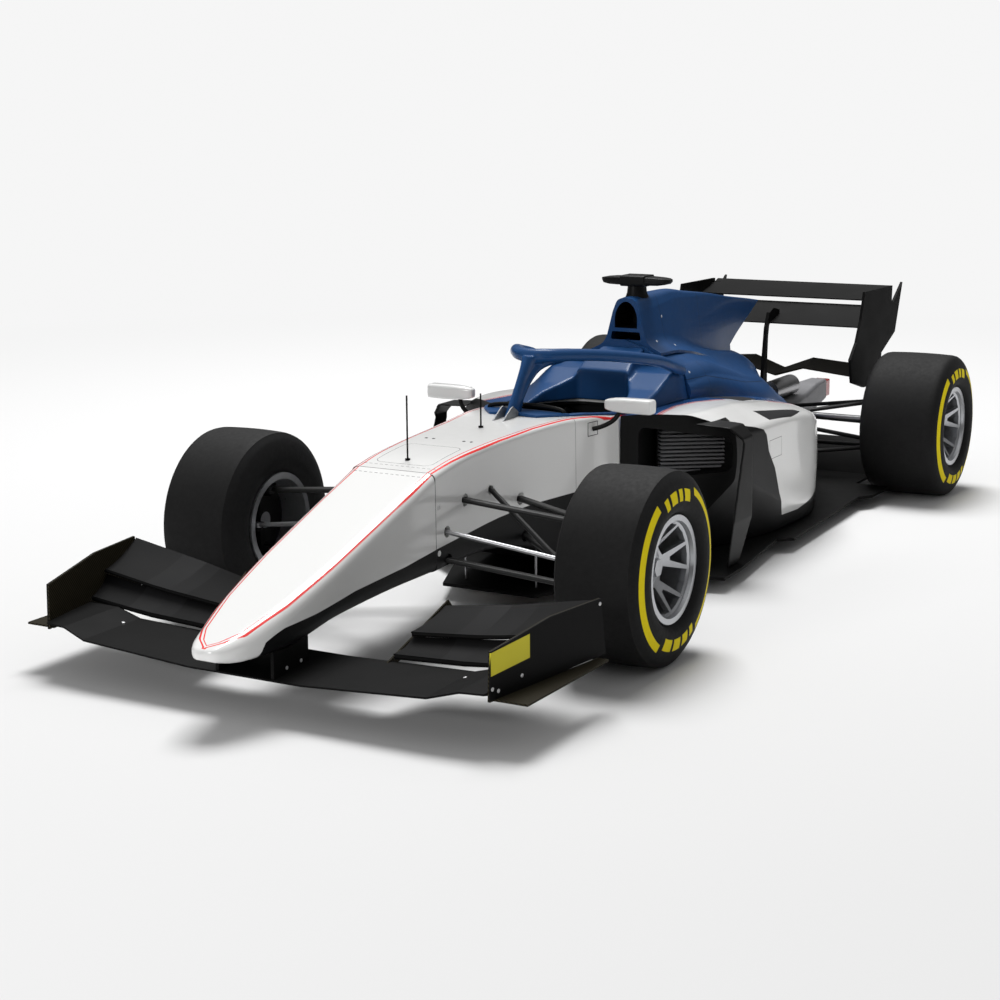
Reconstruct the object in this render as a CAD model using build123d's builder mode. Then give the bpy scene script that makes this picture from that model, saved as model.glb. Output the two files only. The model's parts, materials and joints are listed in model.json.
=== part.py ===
import os
from math import cos, radians, sin

from build123d import *

os.makedirs("parts", exist_ok=True)

# An open wheel racing car, in millimetres. +Z is up, the nose points along -Y and +X is the
# car's left. The origin is on the ground, at the middle of the length and the width.
# A station is a distance behind the front axle.

# Driving dimensions of the whole car
width = 1900
wheelbase = 3135
front_overhang = 1290
rear_overhang = 799
tyre_diameter = 660
front_tyre_width = 320
rear_tyre_width = 385
rim_diameter = 332

length = front_overhang + wheelbase + rear_overhang
front_axle_y = front_overhang - length / 2
rear_axle_y = front_axle_y + wheelbase
wheel_z = tyre_diameter / 2
front_wheel_x = width / 2 - front_tyre_width / 2
rear_wheel_x = width / 2 - rear_tyre_width / 2
rear_tyre_inner_x = rear_wheel_x - rear_tyre_width / 2

# Clearances and overruns
seat_gap = 0.3
running_gap = 0.3
cut_overrun = 20


def at(station):
    """The Y of a place given as a distance behind the front axle."""
    return front_axle_y + station


def behind(distance):
    """The Y of a place given as a distance behind the rear axle."""
    return rear_axle_y + distance


def across(y):
    """The plane across the car at y: local x is X, local y is Z."""
    return Plane.XZ.offset(-y)


def outline(plane, points, radius=0):
    """A closed sketch of straight sides, with its corners rounded."""
    with BuildSketch(plane) as sketch:
        with BuildLine():
            if radius == 0:
                Polyline(*points, close=True)
            else:
                FilletPolyline(*points, radius=radius, close=True)
        make_face()
    return sketch.sketch


def between(table, place, column):
    """The value in one column of a table at a place between two of its rows."""
    for low, high in zip(table, table[1:]):
        if low[0] <= place <= high[0]:
            share = (place - low[0]) / (high[0] - low[0])
            return low[column] + share * (high[column] - low[column])
    return table[-1][column] if place > table[-1][0] else table[0][column]


def rod(start, end, radius):
    """A round bar between two points, added to the part that is being built."""
    start, end = Vector(*start), Vector(*end)
    with BuildSketch(Plane(origin=start, z_dir=end - start)) as section:
        Circle(radius)
    extrude(section.sketch, amount=(end - start).length)


def blade(start, end, chord, thickness):
    """A streamlined arm between two points, its flat section lying level."""
    start, end = Vector(*start), Vector(*end)
    run = end - start
    with BuildSketch(Plane(origin=start, x_dir=run.cross(Vector(0, 0, 1)), z_dir=run)) as section:
        SlotOverall(chord, thickness)
    extrude(section.sketch, amount=run.length)


def save(builder, name):
    """Label a finished piece and write it."""
    builder.part.label = name
    export_step(builder.part, f"parts/{name}.step")


# Floor and skid block
floor_bottom = 50
floor_thickness = 12
floor_top = floor_bottom + floor_thickness
skid_thickness = 12
skid_half_width = 150
skid_front = 470
skid_rear_from_axle = 60
floor_rear_from_axle = 20
floor_tyre_clear = 25
floor_rear_half_width = rear_tyre_inner_x - floor_tyre_clear
# The floor's lip before the rear tyres, as distances in front of the rear axle
lip_waist_distance = 508
lip_front_distance = 440
lip_rear_distance = 220
lip_half_width = 700
lip_corner = 10
# Columns: station, half width of the floor's edge
floor_edge = [
    (404, 195), (702, 319), (956, 655), (966, 706), (1167, 700), (1669, 640), (1720, 697), (2182, 675),
    (wheelbase - lip_waist_distance, 656), (wheelbase - lip_front_distance, lip_half_width),
    (wheelbase - lip_rear_distance, lip_half_width),
    (wheelbase - lip_rear_distance + lip_corner, floor_rear_half_width),
]
stay_radius = 4
# The stays between the tray and the monocoque: x, station
stay_place = (150, 500)

with BuildPart() as floor:
    right = [(half, at(station)) for station, half in floor_edge]
    right.append((floor_rear_half_width, behind(floor_rear_from_axle)))
    left = [(-x, y) for x, y in reversed(right)]
    extrude(outline(Plane.XY.offset(floor_bottom), right + left), amount=floor_thickness)
save(floor, "floor")

with BuildPart() as skid_block:
    skid_length = behind(skid_rear_from_axle) - at(skid_front)
    with BuildSketch(Plane.XY.offset(floor_bottom - skid_thickness)):
        with Locations((0, at(skid_front) + skid_length / 2)):
            RectangleRounded(2 * skid_half_width, skid_length, skid_half_width / 5)
    extrude(amount=skid_thickness)
save(skid_block, "skid_block")

# Nose cone, from its tip to the seam with the monocoque
nose_seam = -233
# Columns: station, half width at the top, half width at the bottom, bottom, top, corner radius
nose_stations = [
    (-1290, 24, 24, 234, 258, 9),
    (-1262, 60, 56, 220, 270, 16),
    (-1182, 96, 92, 206, 296, 22),
    (-1013, 132, 130, 214, 354, 26),
    (-780, 152, 152, 256, 434, 28),
    (-450, 160, 162, 276, 548, 28),
    (-233, 166, 168, 281, 620, 26),
]


def tub_outline(station, half_top, half_bottom, bottom, top, radius):
    """One section of the nose or of the monocoque."""
    right = [(half_bottom, bottom), (half_top, top)]
    left = [(-x, z) for x, z in reversed(right)]
    return outline(across(at(station)), right + left, radius)


with BuildPart() as nose_cone:
    loft([tub_outline(*row) for row in nose_stations], ruled=True)
save(nose_cone, "nose_cone")

# Monocoque: a shell from the nose seam to the engine, open over the cockpit
tub_wall = 24
front_bulkhead = 45
rear_bulkhead = 70
engine_face = 1490
keel = floor_top + seat_gap
# Columns: station, half width at the top, half width at the bottom, bottom, top, corner radius
tub_stations = [
    (nose_seam, 166, 168, 281, 620, 26),
    (-90, 166, 168, 288, 644, 24),
    (60, 168, 170, 288, 658, 22),
    (200, 175, 178, 276, 666, 20),
    (400, 190, 196, 238, 674, 18),
    (510, 204, 212, 200, 678, 18),
    (600, 217, 226, 160, 680, 18),
    (770, 245, 252, 100, 672, 18),
    (975, 272, 282, keel, 648, 18),
    (1100, 299, 299, keel, 636, 18),
    (engine_face, 299, 299, keel, 630, 18),
]


def tub_loft(first, last, inset, lift=0):
    """The sections of the tub between two stations, each drawn in by an inset, with sharp corners inside."""
    places = [first] + [row[0] for row in tub_stations if first < row[0] < last] + [last]
    sections = []
    for place in places:
        half_top, half_bottom, bottom, top, radius = (
            between(tub_stations, place, column) for column in range(1, 6)
        )
        corner = 0 if inset >= tub_wall else radius
        sections.append(
            tub_outline(
                place, half_top - inset, half_bottom - inset, bottom + inset, top - inset + lift, corner
            )
        )
    return sections


# Cockpit opening. Columns: station, half width of the opening
cockpit_edge = [(650, 112), (720, 160), (820, 205), (1000, 226), (1180, 226), (1300, 190), (1385, 120)]
cockpit_corner = 16
cockpit_cut_height = 300

# Front suspension: the kingpin stands upright in the wheel, the legs end in the tub's side
kingpin_offset = 110
kingpin_x = front_wheel_x - kingpin_offset
upper_ball_z = 445
lower_ball_z = 223
# Pick-ups on the monocoque: x, station, z
upper_front_pickup = (168, -40, 496)
upper_rear_pickup = (184, 321, 436)
lower_front_pickup = (169, -154, 309)
lower_rear_pickup = (186, 352, 296)
pushrod_pickup = (172, 129, 503)
pushrod_foot_inset = 84
pushrod_foot = (kingpin_x - pushrod_foot_inset, 14, 228)
pickup_depth = 9
arm_hole_radius = 22
rod_hole_radius = 16

# Every bar of the front suspension: wheel end, tub end, radius of its hole
upper_ball = (kingpin_x, 0, upper_ball_z)
lower_ball = (kingpin_x, 0, lower_ball_z)
front_legs = [
    (upper_ball, upper_front_pickup, arm_hole_radius),
    (upper_ball, upper_rear_pickup, arm_hole_radius),
    (lower_ball, lower_front_pickup, arm_hole_radius),
    (lower_ball, lower_rear_pickup, arm_hole_radius),
]
pushrod = (pushrod_foot, pushrod_pickup, rod_hole_radius)

# Steering rack and track rods
rack_station = -165
rack_z = 415
rack_half = 130
rack_radius = 12
track_rod_radius = 8
track_rod_hole_radius = 20
track_eye_inset = 25
track_eye_x = kingpin_x - track_eye_inset
track_eye_station = -115
track_eye_z = 339
rack_guide_half = 55
rack_guide_wall = 14
tub_side_x = 168
track_hole_share = (tub_side_x - rack_half) / (track_eye_x - rack_half)
track_hole_station = rack_station + track_hole_share * (track_eye_station - rack_station)
track_hole_z = rack_z + track_hole_share * (track_eye_z - rack_z)


def placed(place, side):
    """A point of the front suspension on one side of the car."""
    x, station, z = place
    return Vector(side * x, at(station), z)


def leg_ends(leg, side):
    """The wheel end of a leg, the bottom of its recess in the tub and its direction."""
    wheel_end, surface = placed(leg[0], side), placed(leg[1], side)
    outward = (wheel_end - surface).normalized()
    return wheel_end, surface - outward * pickup_depth, outward


def leg_recess(leg, side):
    """The round recess in the tub's side that a leg ends in."""
    wheel_end, seat, outward = leg_ends(leg, side)
    with BuildSketch(Plane(origin=seat, z_dir=outward)) as section:
        Circle(leg[2])
    extrude(section.sketch, amount=3 * tub_wall, mode=Mode.SUBTRACT)


with BuildPart() as monocoque:
    loft(tub_loft(nose_seam + seat_gap, engine_face, 0), ruled=True)
    loft(
        tub_loft(nose_seam + front_bulkhead, engine_face - rear_bulkhead, tub_wall),
        ruled=True,
        mode=Mode.SUBTRACT,
    )
    right = [(half, at(station)) for station, half in cockpit_edge]
    opening = right + [(-x, y) for x, y in reversed(right)]
    top_plane = Plane.XY.offset(between(tub_stations, cockpit_edge[0][0], 4) - cockpit_cut_height / 2)
    extrude(outline(top_plane, opening, cockpit_corner), amount=cockpit_cut_height, mode=Mode.SUBTRACT)
    # The guide of the steering rack stands on the front bulkhead
    guide_size = 2 * (rack_radius + rack_guide_wall)
    guide_depth = at(rack_station) + guide_size / 2 - at(nose_seam + front_bulkhead)
    with Locations((0, at(rack_station) + guide_size / 2 - guide_depth / 2, rack_z)):
        Box(2 * rack_guide_half, guide_depth, guide_size)
    with BuildSketch(Plane.YZ.offset(-rack_guide_half - cut_overrun)):
        with Locations((at(rack_station), rack_z)):
            Circle(rack_radius + running_gap)
    extrude(amount=2 * (rack_guide_half + cut_overrun), mode=Mode.SUBTRACT)
    for side in (1, -1):
        for leg in front_legs + [pushrod]:
            leg_recess(leg, side)
        # The track rods pass through the sides
        with BuildSketch(Plane.YZ.offset(side * rack_half)) as hole:
            with Locations((at(track_hole_station), track_hole_z)):
                Circle(track_rod_hole_radius)
        extrude(hole.sketch, amount=side * rack_half, mode=Mode.SUBTRACT)
save(monocoque, "monocoque")

# Two thin stays carry the tray below the monocoque
with BuildPart() as floor_stays:
    for side in (1, -1):
        with BuildSketch(Plane.XY.offset(keel)):
            with Locations((side * stay_place[0], at(stay_place[1]))):
                Circle(stay_radius)
        extrude(amount=between(tub_stations, stay_place[1], 3) + cut_overrun - keel)
    loft(tub_loft(nose_seam, engine_face, -seat_gap), ruled=True, mode=Mode.SUBTRACT)
save(floor_stays, "floor_stays")

# Front wishbones and push rods
boss_radius = 14
boss_height = 26
arm_chord = 34
arm_thickness = 17
arm_neck_radius = 9
arm_neck_length = 34
pushrod_radius = 10
kingpin_radius = 6

for side, name in ((1, "left"), (-1, "right")):
    with BuildPart() as wishbones:
        for ball in (upper_ball, lower_ball):
            with Locations(placed(ball, side)):
                Cylinder(boss_radius, boss_height)
        for leg in front_legs:
            wheel_end, seat, outward = leg_ends(leg, side)
            neck = wheel_end - outward * arm_neck_length
            rod(wheel_end, neck, arm_neck_radius)
            blade(neck, seat + outward * seat_gap, arm_chord, arm_thickness)
        foot, seat, outward = leg_ends(pushrod, side)
        rod(foot, seat + outward * seat_gap, pushrod_radius)
        for ball in (upper_ball, lower_ball):
            with Locations(placed(ball, side)):
                Cylinder(kingpin_radius + running_gap, boss_height, mode=Mode.SUBTRACT)
    save(wishbones, f"front_wishbones_{name}")

# Front uprights: hub carrier, brake drum, clevises on the kingpin and steering arm
axle_radius = 30
carrier_inset = 26
carrier_depth = 34
carrier_inner_x = kingpin_x + carrier_inset
carrier_outer_x = carrier_inner_x + carrier_depth
carrier_half = 34
drum_radius = 148
drum_lip = 5
drum_depth = 54
hub_radius = 58
clevis_thickness = 8
clevis_gap = 0.5
clevis_reach = 13
clevis_inner_x = kingpin_x - clevis_reach
clevis_half = 17
steering_arm_width = 26
steering_arm_thickness = 12
track_eye_radius = 13
track_eye_height = 16
track_eye_gap = 1


def wheel_plane(x, y, side):
    """The plane through a wheel's axis: local x points outboard, local y is up."""
    return Plane(origin=(side * x, y, wheel_z), x_dir=(side, 0, 0), z_dir=(0, -side, 0))


def face_plane(x, y, side):
    """The plane of a wheel's face: its normal points outboard, local y is up."""
    return Plane(origin=(side * x, y, wheel_z), x_dir=(0, side, 0), z_dir=(side, 0, 0))


def brake_drum(x, y, side):
    """A closed drum whose inner face is at x, open towards the wheel."""
    with BuildSketch(face_plane(x, y, side)) as face:
        Circle(drum_radius)
    extrude(face.sketch, amount=drum_depth)
    with BuildSketch(face_plane(x + drum_lip, y, side)) as hollow:
        Circle(drum_radius - drum_lip)
        Circle(hub_radius, mode=Mode.SUBTRACT)
    extrude(hollow.sketch, amount=drum_depth, mode=Mode.SUBTRACT)


for side, name in ((1, "left"), (-1, "right")):
    with BuildPart() as upright:
        brake_drum(carrier_outer_x, front_axle_y, side)
        carrier_low = lower_ball_z - boss_height / 2 - clevis_gap - clevis_thickness
        carrier_high = upper_ball_z + boss_height / 2 + clevis_gap + clevis_thickness
        carrier_width = carrier_outer_x - carrier_inner_x
        with Locations(
            (side * (carrier_inner_x + carrier_width / 2), front_axle_y, (carrier_low + carrier_high) / 2)
        ):
            Box(carrier_width, 2 * carrier_half, carrier_high - carrier_low)
        for ball_z in (upper_ball_z, lower_ball_z):
            for up in (1, -1):
                plate_z = ball_z + up * (boss_height / 2 + clevis_gap + clevis_thickness / 2)
                plate_length = carrier_inner_x - clevis_inner_x
                with Locations((side * (clevis_inner_x + plate_length / 2), front_axle_y, plate_z)):
                    Box(plate_length, 2 * clevis_half, clevis_thickness)
            with Locations((side * kingpin_x, front_axle_y, ball_z)):
                Cylinder(kingpin_radius, boss_height + 2 * clevis_thickness)
        arm_top = track_eye_z - track_eye_height / 2 - track_eye_gap
        arm_root = Vector(side * (carrier_inner_x + carrier_half / 2), front_axle_y)
        arm_tip = Vector(side * track_eye_x, at(track_eye_station))
        with BuildSketch(Plane.XY.offset(arm_top - steering_arm_thickness)):
            SlotCenterPoint((arm_root + arm_tip) / 2, arm_tip, steering_arm_width)
        extrude(amount=steering_arm_thickness)
        with BuildSketch(face_plane(clevis_inner_x, front_axle_y, side)):
            Circle(axle_radius + running_gap)
        extrude(amount=2 * width, mode=Mode.SUBTRACT)
    save(upright, f"upright_front_{name}")

with BuildPart() as steering_rack:
    with BuildSketch(Plane.YZ.offset(-rack_half)):
        with Locations((at(rack_station), rack_z)):
            Circle(rack_radius)
    extrude(amount=2 * rack_half)
    for side in (1, -1):
        rack_end = placed((rack_half - rack_radius, rack_station, rack_z), side)
        eye = placed((track_eye_x, track_eye_station, track_eye_z), side)
        rod(rack_end, eye, track_rod_radius)
        with Locations(eye):
            Cylinder(track_eye_radius, track_eye_height)
save(steering_rack, "steering_rack")

# Rims and tyres
rim_radius = rim_diameter / 2
rim_wall = 8
flange_height = 15
flange_thickness = 7
rim_outer_inset = 19
rim_inner_inset = 6
spoke_thickness = 20
spoke_inset = 12
hub_inset = 80
hub_length = 50
rim_hub_radius = 62
nut_radius = 31
nut_length = 26
spoke_pairs = 5
# Columns: radius as a share of the rim's inner radius, half angle in degrees
spoke_turn = 7
pair_window_share = [(0.60, 4), (0.95, 14)]
wide_window_share = [(0.46, 20), (0.95, 17)]
tread_edge_share = 0.82
shoulder_share = 0.88
sidewall_share = 0.70


def window(table_share, middle, inner_radius):
    """A window between two spokes, as the corners of a closed outline."""
    (low, low_half), (high, high_half) = table_share
    corners = [(low, -low_half), (high, -high_half), (high, 0), (high, high_half), (low, low_half)]
    return [
        (share * inner_radius * cos(radians(middle + turn)), share * inner_radius * sin(radians(middle + turn)))
        for share, turn in corners
    ]


def make_rim(x, y, side, tyre_width, axle_end_x):
    """A rim with its spokes, hub, nut and axle, added to the part that is being built."""
    outer = tyre_width / 2 - rim_outer_inset
    inner = rim_inner_inset - tyre_width / 2
    bore = rim_radius - rim_wall
    flange = rim_radius + flange_height
    barrel = [
        (inner, bore), (inner, flange), (inner + flange_thickness, flange),
        (inner + flange_thickness, rim_radius), (outer - flange_thickness, rim_radius),
        (outer - flange_thickness, flange), (outer, flange), (outer, bore + rim_wall / 2),
        (outer - spoke_inset, bore),
    ]
    plane = wheel_plane(x, y, side)
    spin_axis = Axis(plane.origin, plane.x_dir)
    revolve(outline(plane, barrel), axis=spin_axis)
    face = outer - hub_inset
    seat = bore + rim_wall / 2
    dish = [
        (outer - spoke_inset, seat), (face, rim_hub_radius), (face, 0), (face - hub_length, 0),
        (face - hub_length, rim_hub_radius), (face - spoke_thickness, rim_hub_radius),
        (outer - spoke_inset - spoke_thickness, seat),
    ]
    revolve(outline(plane, dish), axis=spin_axis)
    pitch = 360 / spoke_pairs
    for pair in range(spoke_pairs):
        middle = spoke_turn + pair * pitch
        for table_share, turn in ((pair_window_share, middle), (wide_window_share, middle + pitch / 2)):
            corners = [(side * near, up) for near, up in window(table_share, turn, bore)]
            sketch = outline(face_plane(x + face - hub_length, y, side), corners)
            extrude(sketch, amount=tyre_width / 2, mode=Mode.SUBTRACT)
    with BuildSketch(face_plane(x + face, y, side)) as nut:
        RegularPolygon(nut_radius, 6)
    extrude(nut.sketch, amount=nut_length)
    with BuildSketch(face_plane(axle_end_x, y, side)) as axle:
        Circle(axle_radius)
    extrude(axle.sketch, amount=x + face - hub_length - axle_end_x)


def make_tyre(x, y, side, tyre_width):
    """A slick tyre, added to the part that is being built."""
    radius = tyre_diameter / 2
    half = tyre_width / 2
    bead = rim_radius + seat_gap
    inner = rim_inner_inset - half + flange_thickness + seat_gap
    outer = half - rim_outer_inset - flange_thickness - seat_gap
    lip = rim_radius + flange_height + flange_thickness / 2
    profile = [
        (inner, bead), (outer, bead), (outer, lip), (half, radius * sidewall_share),
        (half, radius * shoulder_share), (half * tread_edge_share, radius),
        (-half * tread_edge_share, radius), (-half, radius * shoulder_share),
        (-half, radius * sidewall_share), (inner, lip),
    ]
    plane = wheel_plane(x, y, side)
    revolve(outline(plane, profile), axis=Axis(plane.origin, plane.x_dir))


rear_drum_offset = 201.5
rear_axle_end_gap = 4
rear_drum_x = rear_wheel_x - rear_drum_offset
rear_axle_end_x = rear_drum_x - rear_axle_end_gap
axles = (
    ("front", front_wheel_x, front_axle_y, front_tyre_width, carrier_inner_x),
    ("rear", rear_wheel_x, rear_axle_y, rear_tyre_width, rear_axle_end_x),
)
for end, wheel_x, axle_y, tyre_width, axle_end_x in axles:
    for side, name in ((1, "left"), (-1, "right")):
        with BuildPart() as rim:
            make_rim(wheel_x, axle_y, side, tyre_width, axle_end_x)
        save(rim, f"rim_{end}_{name}")
        with BuildPart() as tyre:
            make_tyre(wheel_x, axle_y, side, tyre_width)
        save(tyre, f"tyre_{end}_{name}")

# Engine, gearbox and rear crash structure
engine_length = 600
engine_half_width = 255
engine_height = 480
gearbox_front = engine_face + engine_length + 2 * seat_gap
light_length = 71
crash_length = rear_overhang - light_length
crash_middle_share = 0.501
crash_neck_share = 0.769
# Columns: distance behind the rear axle, half width, bottom, top, corner radius
gearbox_stations = [
    (gearbox_front - wheelbase, 190, 80, 470, 30),
    (-635, 150, 100, 420, 30),
    (-435, 125, 110, 392, 28),
    (-135, 115, 120, 380, 26),
    (165, 105, 150, 370, 26),
    (crash_middle_share * crash_length, 78, 225, 372, 22),
    (crash_neck_share * crash_length, 60, 270, 398, 18),
    (crash_length, 46, 293, 399, 14),
]
tow_from_end = 118
tow_distance = crash_length - tow_from_end
tow_z = 246
tow_radius = 22
tow_hole_radius = 10
tow_thickness = 14
shaft_radius = 16
shaft_end_x = 96

with BuildPart() as engine_block:
    engine_corner = 14
    with BuildSketch(Plane.XY.offset(keel)):
        with Locations((0, at(engine_face + seat_gap) + engine_length / 2)):
            Rectangle(2 * engine_half_width, engine_length)
    extrude(amount=engine_height)
    chamfer(engine_block.faces().sort_by(Axis.Z)[-1].edges(), engine_corner)
save(engine_block, "engine_block")


def box_section(y, half, bottom, top, radius):
    """A rounded box section across the car."""
    corners = [(half, bottom), (half, top), (-half, top), (-half, bottom)]
    return outline(across(y), corners, radius)


def gearbox_loft(gap=0, mode=Mode.ADD):
    """The body of the gearbox, grown by a gap."""
    sections = []
    for distance, half, bottom, top, radius in gearbox_stations:
        sections.append(box_section(behind(distance), half + gap, bottom - gap, top + gap, radius))
    loft(sections, ruled=True, mode=mode)


with BuildPart() as gearbox:
    gearbox_loft()
    # The rear towing eye hangs below the crash structure
    with BuildSketch(Plane.YZ.offset(-tow_thickness / 2)):
        with Locations((behind(tow_distance), tow_z)):
            Circle(tow_radius)
        with Locations((behind(tow_distance), tow_z + tow_radius)):
            Rectangle(2 * tow_radius, 2 * tow_radius)
        with Locations((behind(tow_distance), tow_z)):
            Circle(tow_hole_radius, mode=Mode.SUBTRACT)
    extrude(amount=tow_thickness)
    for side in (1, -1):
        with BuildSketch(face_plane(shaft_end_x - cut_overrun, rear_axle_y, side)) as bore:
            Circle(shaft_radius + running_gap)
        extrude(bore.sketch, amount=wheelbase / 4, mode=Mode.SUBTRACT)
save(gearbox, "gearbox")

light_half_width = 38
light_half_height = 44
crash_end = gearbox_stations[-1]

with BuildPart() as rain_light:
    light_start = behind(crash_end[0]) + seat_gap
    with BuildSketch(across(light_start)):
        with Locations((0, (crash_end[2] + crash_end[3]) / 2)):
            RectangleRounded(2 * light_half_width, 2 * light_half_height, light_half_width / 5)
    extrude(amount=-(behind(rear_overhang) - light_start))
save(rain_light, "rain_light")

# Engine cover: a low body under a tall spine with the air intake and the fin
cover_front = 1541
split_gap = seat_gap / 2


def rear_place(share):
    """A station on the run from the cover's front to the rear axle, given as a share of it."""
    return cover_front + share * (wheelbase - cover_front)


def rear_table(shares, sizes):
    """A table of sections along that run: shares of the run and the sizes of each section."""
    return [(rear_place(share), *row) for share, row in zip(shares, sizes)]


# The sections of the cover and of the rear of the sidepods
cover_place_shares = (0, 0.1625, 0.3507, 0.5389, 0.7271, 0.8526, 0.9285)
spine_place_shares = (0.0138, 0.0997, 0.2252, 0.3821, 0.5389, 0.7020)
pod_place_shares = (0.1725, 0.3507, 0.5389, 0.7271, 0.8526)
# Half width where the cover meets the sidepods
split_halves = [(300,), (300,), (300,), (284,), (246,), (214,), (150,)]
pod_front = 900
split_stations = [(pod_front, split_halves[0][0])] + rear_table(cover_place_shares, split_halves)
# Columns: bottom, skirt top, shoulder half width, shoulder, neck half width, neck
cover_sizes = [
    (556, 634, 282, 748, 96, 830),
    (556, 612, 262, 738, 88, 822),
    (556, 566, 236, 676, 70, 770),
    (470, 508, 206, 604, 52, 712),
    (402, 432, 160, 552, 30, 668),
    (390, 402, 110, 480, 20, 600),
    (386, 392, 76, 440, 14, 512),
]
cover_stations = rear_table(cover_place_shares, cover_sizes)
# Columns: half width at the neck, neck, half width at the crest, crest
spine_sizes = [
    (94, 836, 60, 1030),
    (92, 836, 58, 1038),
    (84, 806, 46, 1036),
    (62, 748, 26, 1004),
    (40, 700, 14, 972),
    (12, 690, 8, 934),
]
spine_stations = rear_table(spine_place_shares, spine_sizes)
spine_corner_share = 0.8
fin_half = 7
fin_low_share = 0.6895
fin_tip_share = 0.9153
fin_low = (rear_place(fin_low_share), 716)
fin_tip = (rear_place(fin_tip_share), 887)
intake_depth = 190
intake_half = 52
intake_bottom = 902
intake_top = 1018
slot_bottom = 856
slot_top = 892
slot_half = 66


def cover_section(station, bottom, skirt, shoulder_half, shoulder, neck_half, neck):
    """One section of the low body of the engine cover."""
    half = between(split_stations, station, 1) - split_gap
    right = [(half, bottom), (half, skirt), (shoulder_half, shoulder), (neck_half, neck)]
    return outline(across(at(station)), right + [(-x, z) for x, z in reversed(right)])


def spine_section(station, neck_half, neck, crest_half, crest):
    """One section of the spine, round at its crest."""
    right = [(neck_half, neck), (crest_half, crest)]
    with BuildSketch(across(at(station))) as sketch:
        with BuildLine():
            low = crest - crest_half * spine_corner_share
            Polyline((-crest_half, low), (-neck_half, neck), (neck_half, neck), (crest_half, low))
            ThreePointArc((crest_half, low), (0, crest), (-crest_half, low))
        make_face()
    return sketch.sketch


with BuildPart() as engine_cover:
    loft([cover_section(*row) for row in cover_stations], ruled=True)
    loft([spine_section(*row) for row in spine_stations], ruled=True)
    # The fin behind the spine
    crest_station, _, _, _, crest = spine_stations[-2]
    fin = [
        (at(crest_station), crest - fin_half), (at(fin_tip[0]), fin_tip[1]),
        (at(fin_low[0]), fin_low[1]), (at(crest_station), fin_low[1]),
    ]
    extrude(outline(Plane.YZ.offset(-fin_half), fin), amount=2 * fin_half)
    # The two mouths of the air intake
    mouth_plane = across(at(cover_front))
    with BuildSketch(mouth_plane) as mouth:
        with BuildLine():
            Polyline((-intake_half, intake_bottom + intake_half / 2), (-intake_half, intake_bottom),
                     (intake_half, intake_bottom), (intake_half, intake_bottom + intake_half / 2))
            ThreePointArc(
                (intake_half, intake_bottom + intake_half / 2), (0, intake_top),
                (-intake_half, intake_bottom + intake_half / 2),
            )
        make_face()
    extrude(mouth.sketch, amount=-intake_depth, mode=Mode.SUBTRACT)
    with BuildSketch(mouth_plane) as slot:
        with Locations((0, (slot_bottom + slot_top) / 2)):
            RectangleRounded(2 * slot_half, slot_top - slot_bottom, (slot_top - slot_bottom) / 5)
    extrude(slot.sketch, amount=-intake_depth, mode=Mode.SUBTRACT)
save(engine_cover, "engine_cover")

# Camera pod on the cover's crest
pod_station = 1668
pod_half = 156
pod_length = 84
pod_bottom = 1070
pod_top = 1116
# Columns: place along the pod from its middle, size of its section, both as shares
pod_section_shares = [(-1, 0.55), (-0.8, 0.84), (0, 1), (0.8, 0.84), (1, 0.55)]
stalk_half_width = 34
stalk_half_length = 52


def pod_section(x, share):
    """One oval section of the camera pod."""
    with BuildSketch(Plane.YZ.offset(x)) as sketch:
        with Locations((at(pod_station), (pod_bottom + pod_top) / 2)):
            Ellipse(share * pod_length / 2, share * (pod_top - pod_bottom) / 2)
    return sketch.sketch


with BuildPart() as camera_pod:
    loft([pod_section(place * pod_half, share) for place, share in pod_section_shares], ruled=True)
    stalk_bottom = between(spine_stations, pod_station - stalk_half_length, 4)
    with BuildSketch(Plane.XY.offset(stalk_bottom - stalk_half_width / 2)):
        with Locations((0, at(pod_station))):
            Ellipse(stalk_half_width, stalk_half_length)
    extrude(amount=(pod_bottom + pod_top) / 2 - stalk_bottom + stalk_half_width / 2)
    loft([spine_section(row[0], *(value + seat_gap for value in row[1:])) for row in spine_stations],
         ruled=True, mode=Mode.SUBTRACT)
save(camera_pod, "camera_pod")

# Sidepods. Columns: station, half width at the floor, outer half width, height of the undercut,
# height of the outer shoulder, half width of the top, height of the top, inner height
pod_stations = [
    (pod_front, 330, 560, 400, 520, 420, 640, 652),
    (1290, 440, 614, 380, 560, 500, 640, 640),
    (cover_front, 520, 620, 290, 548, 490, 628, 632),
]
# The same columns without the station
pod_sizes = [
    (590, 622, 180, 545, 480, 596, 604),
    (600, 616, 140, 522, 455, 560, 566),
    (530, 534, 130, 440, 410, 500, 508),
    (400, 402, 120, 330, 330, 412, 432),
    (300, 302, 110, 236, 262, 330, 360),
]
pod_stations += rear_table(pod_place_shares, pod_sizes)
inlet_inner = (268, 942)
inlet_outer = (630, 1296)
inlet_depth = 150
inlet_top_share = (0.10, 0.93)
inlet_corner = 34
inlet_low = 432
inlet_low_outer = 412
inlet_high = 604
inlet_high_outer = 540
radiator_thickness = 30
radiator_slats = 12
slat_depth = 14
slat_height = 5


def pod_outline(side, station, floor_half, outer_half, undercut, shoulder, top_half, top, inner_top):
    """One section of a sidepod, from the tub's side out to the shoulder."""
    inner = between(split_stations, station, 1) + split_gap
    right = [
        (inner, keel), (floor_half, keel), (outer_half, undercut), (outer_half, shoulder),
        (top_half, top), (inner, inner_top),
    ]
    return outline(across(at(station)), [(side * x, z) for x, z in right])


inlet_run = Vector(inlet_outer[0] - inlet_inner[0], inlet_outer[1] - inlet_inner[1])


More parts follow.
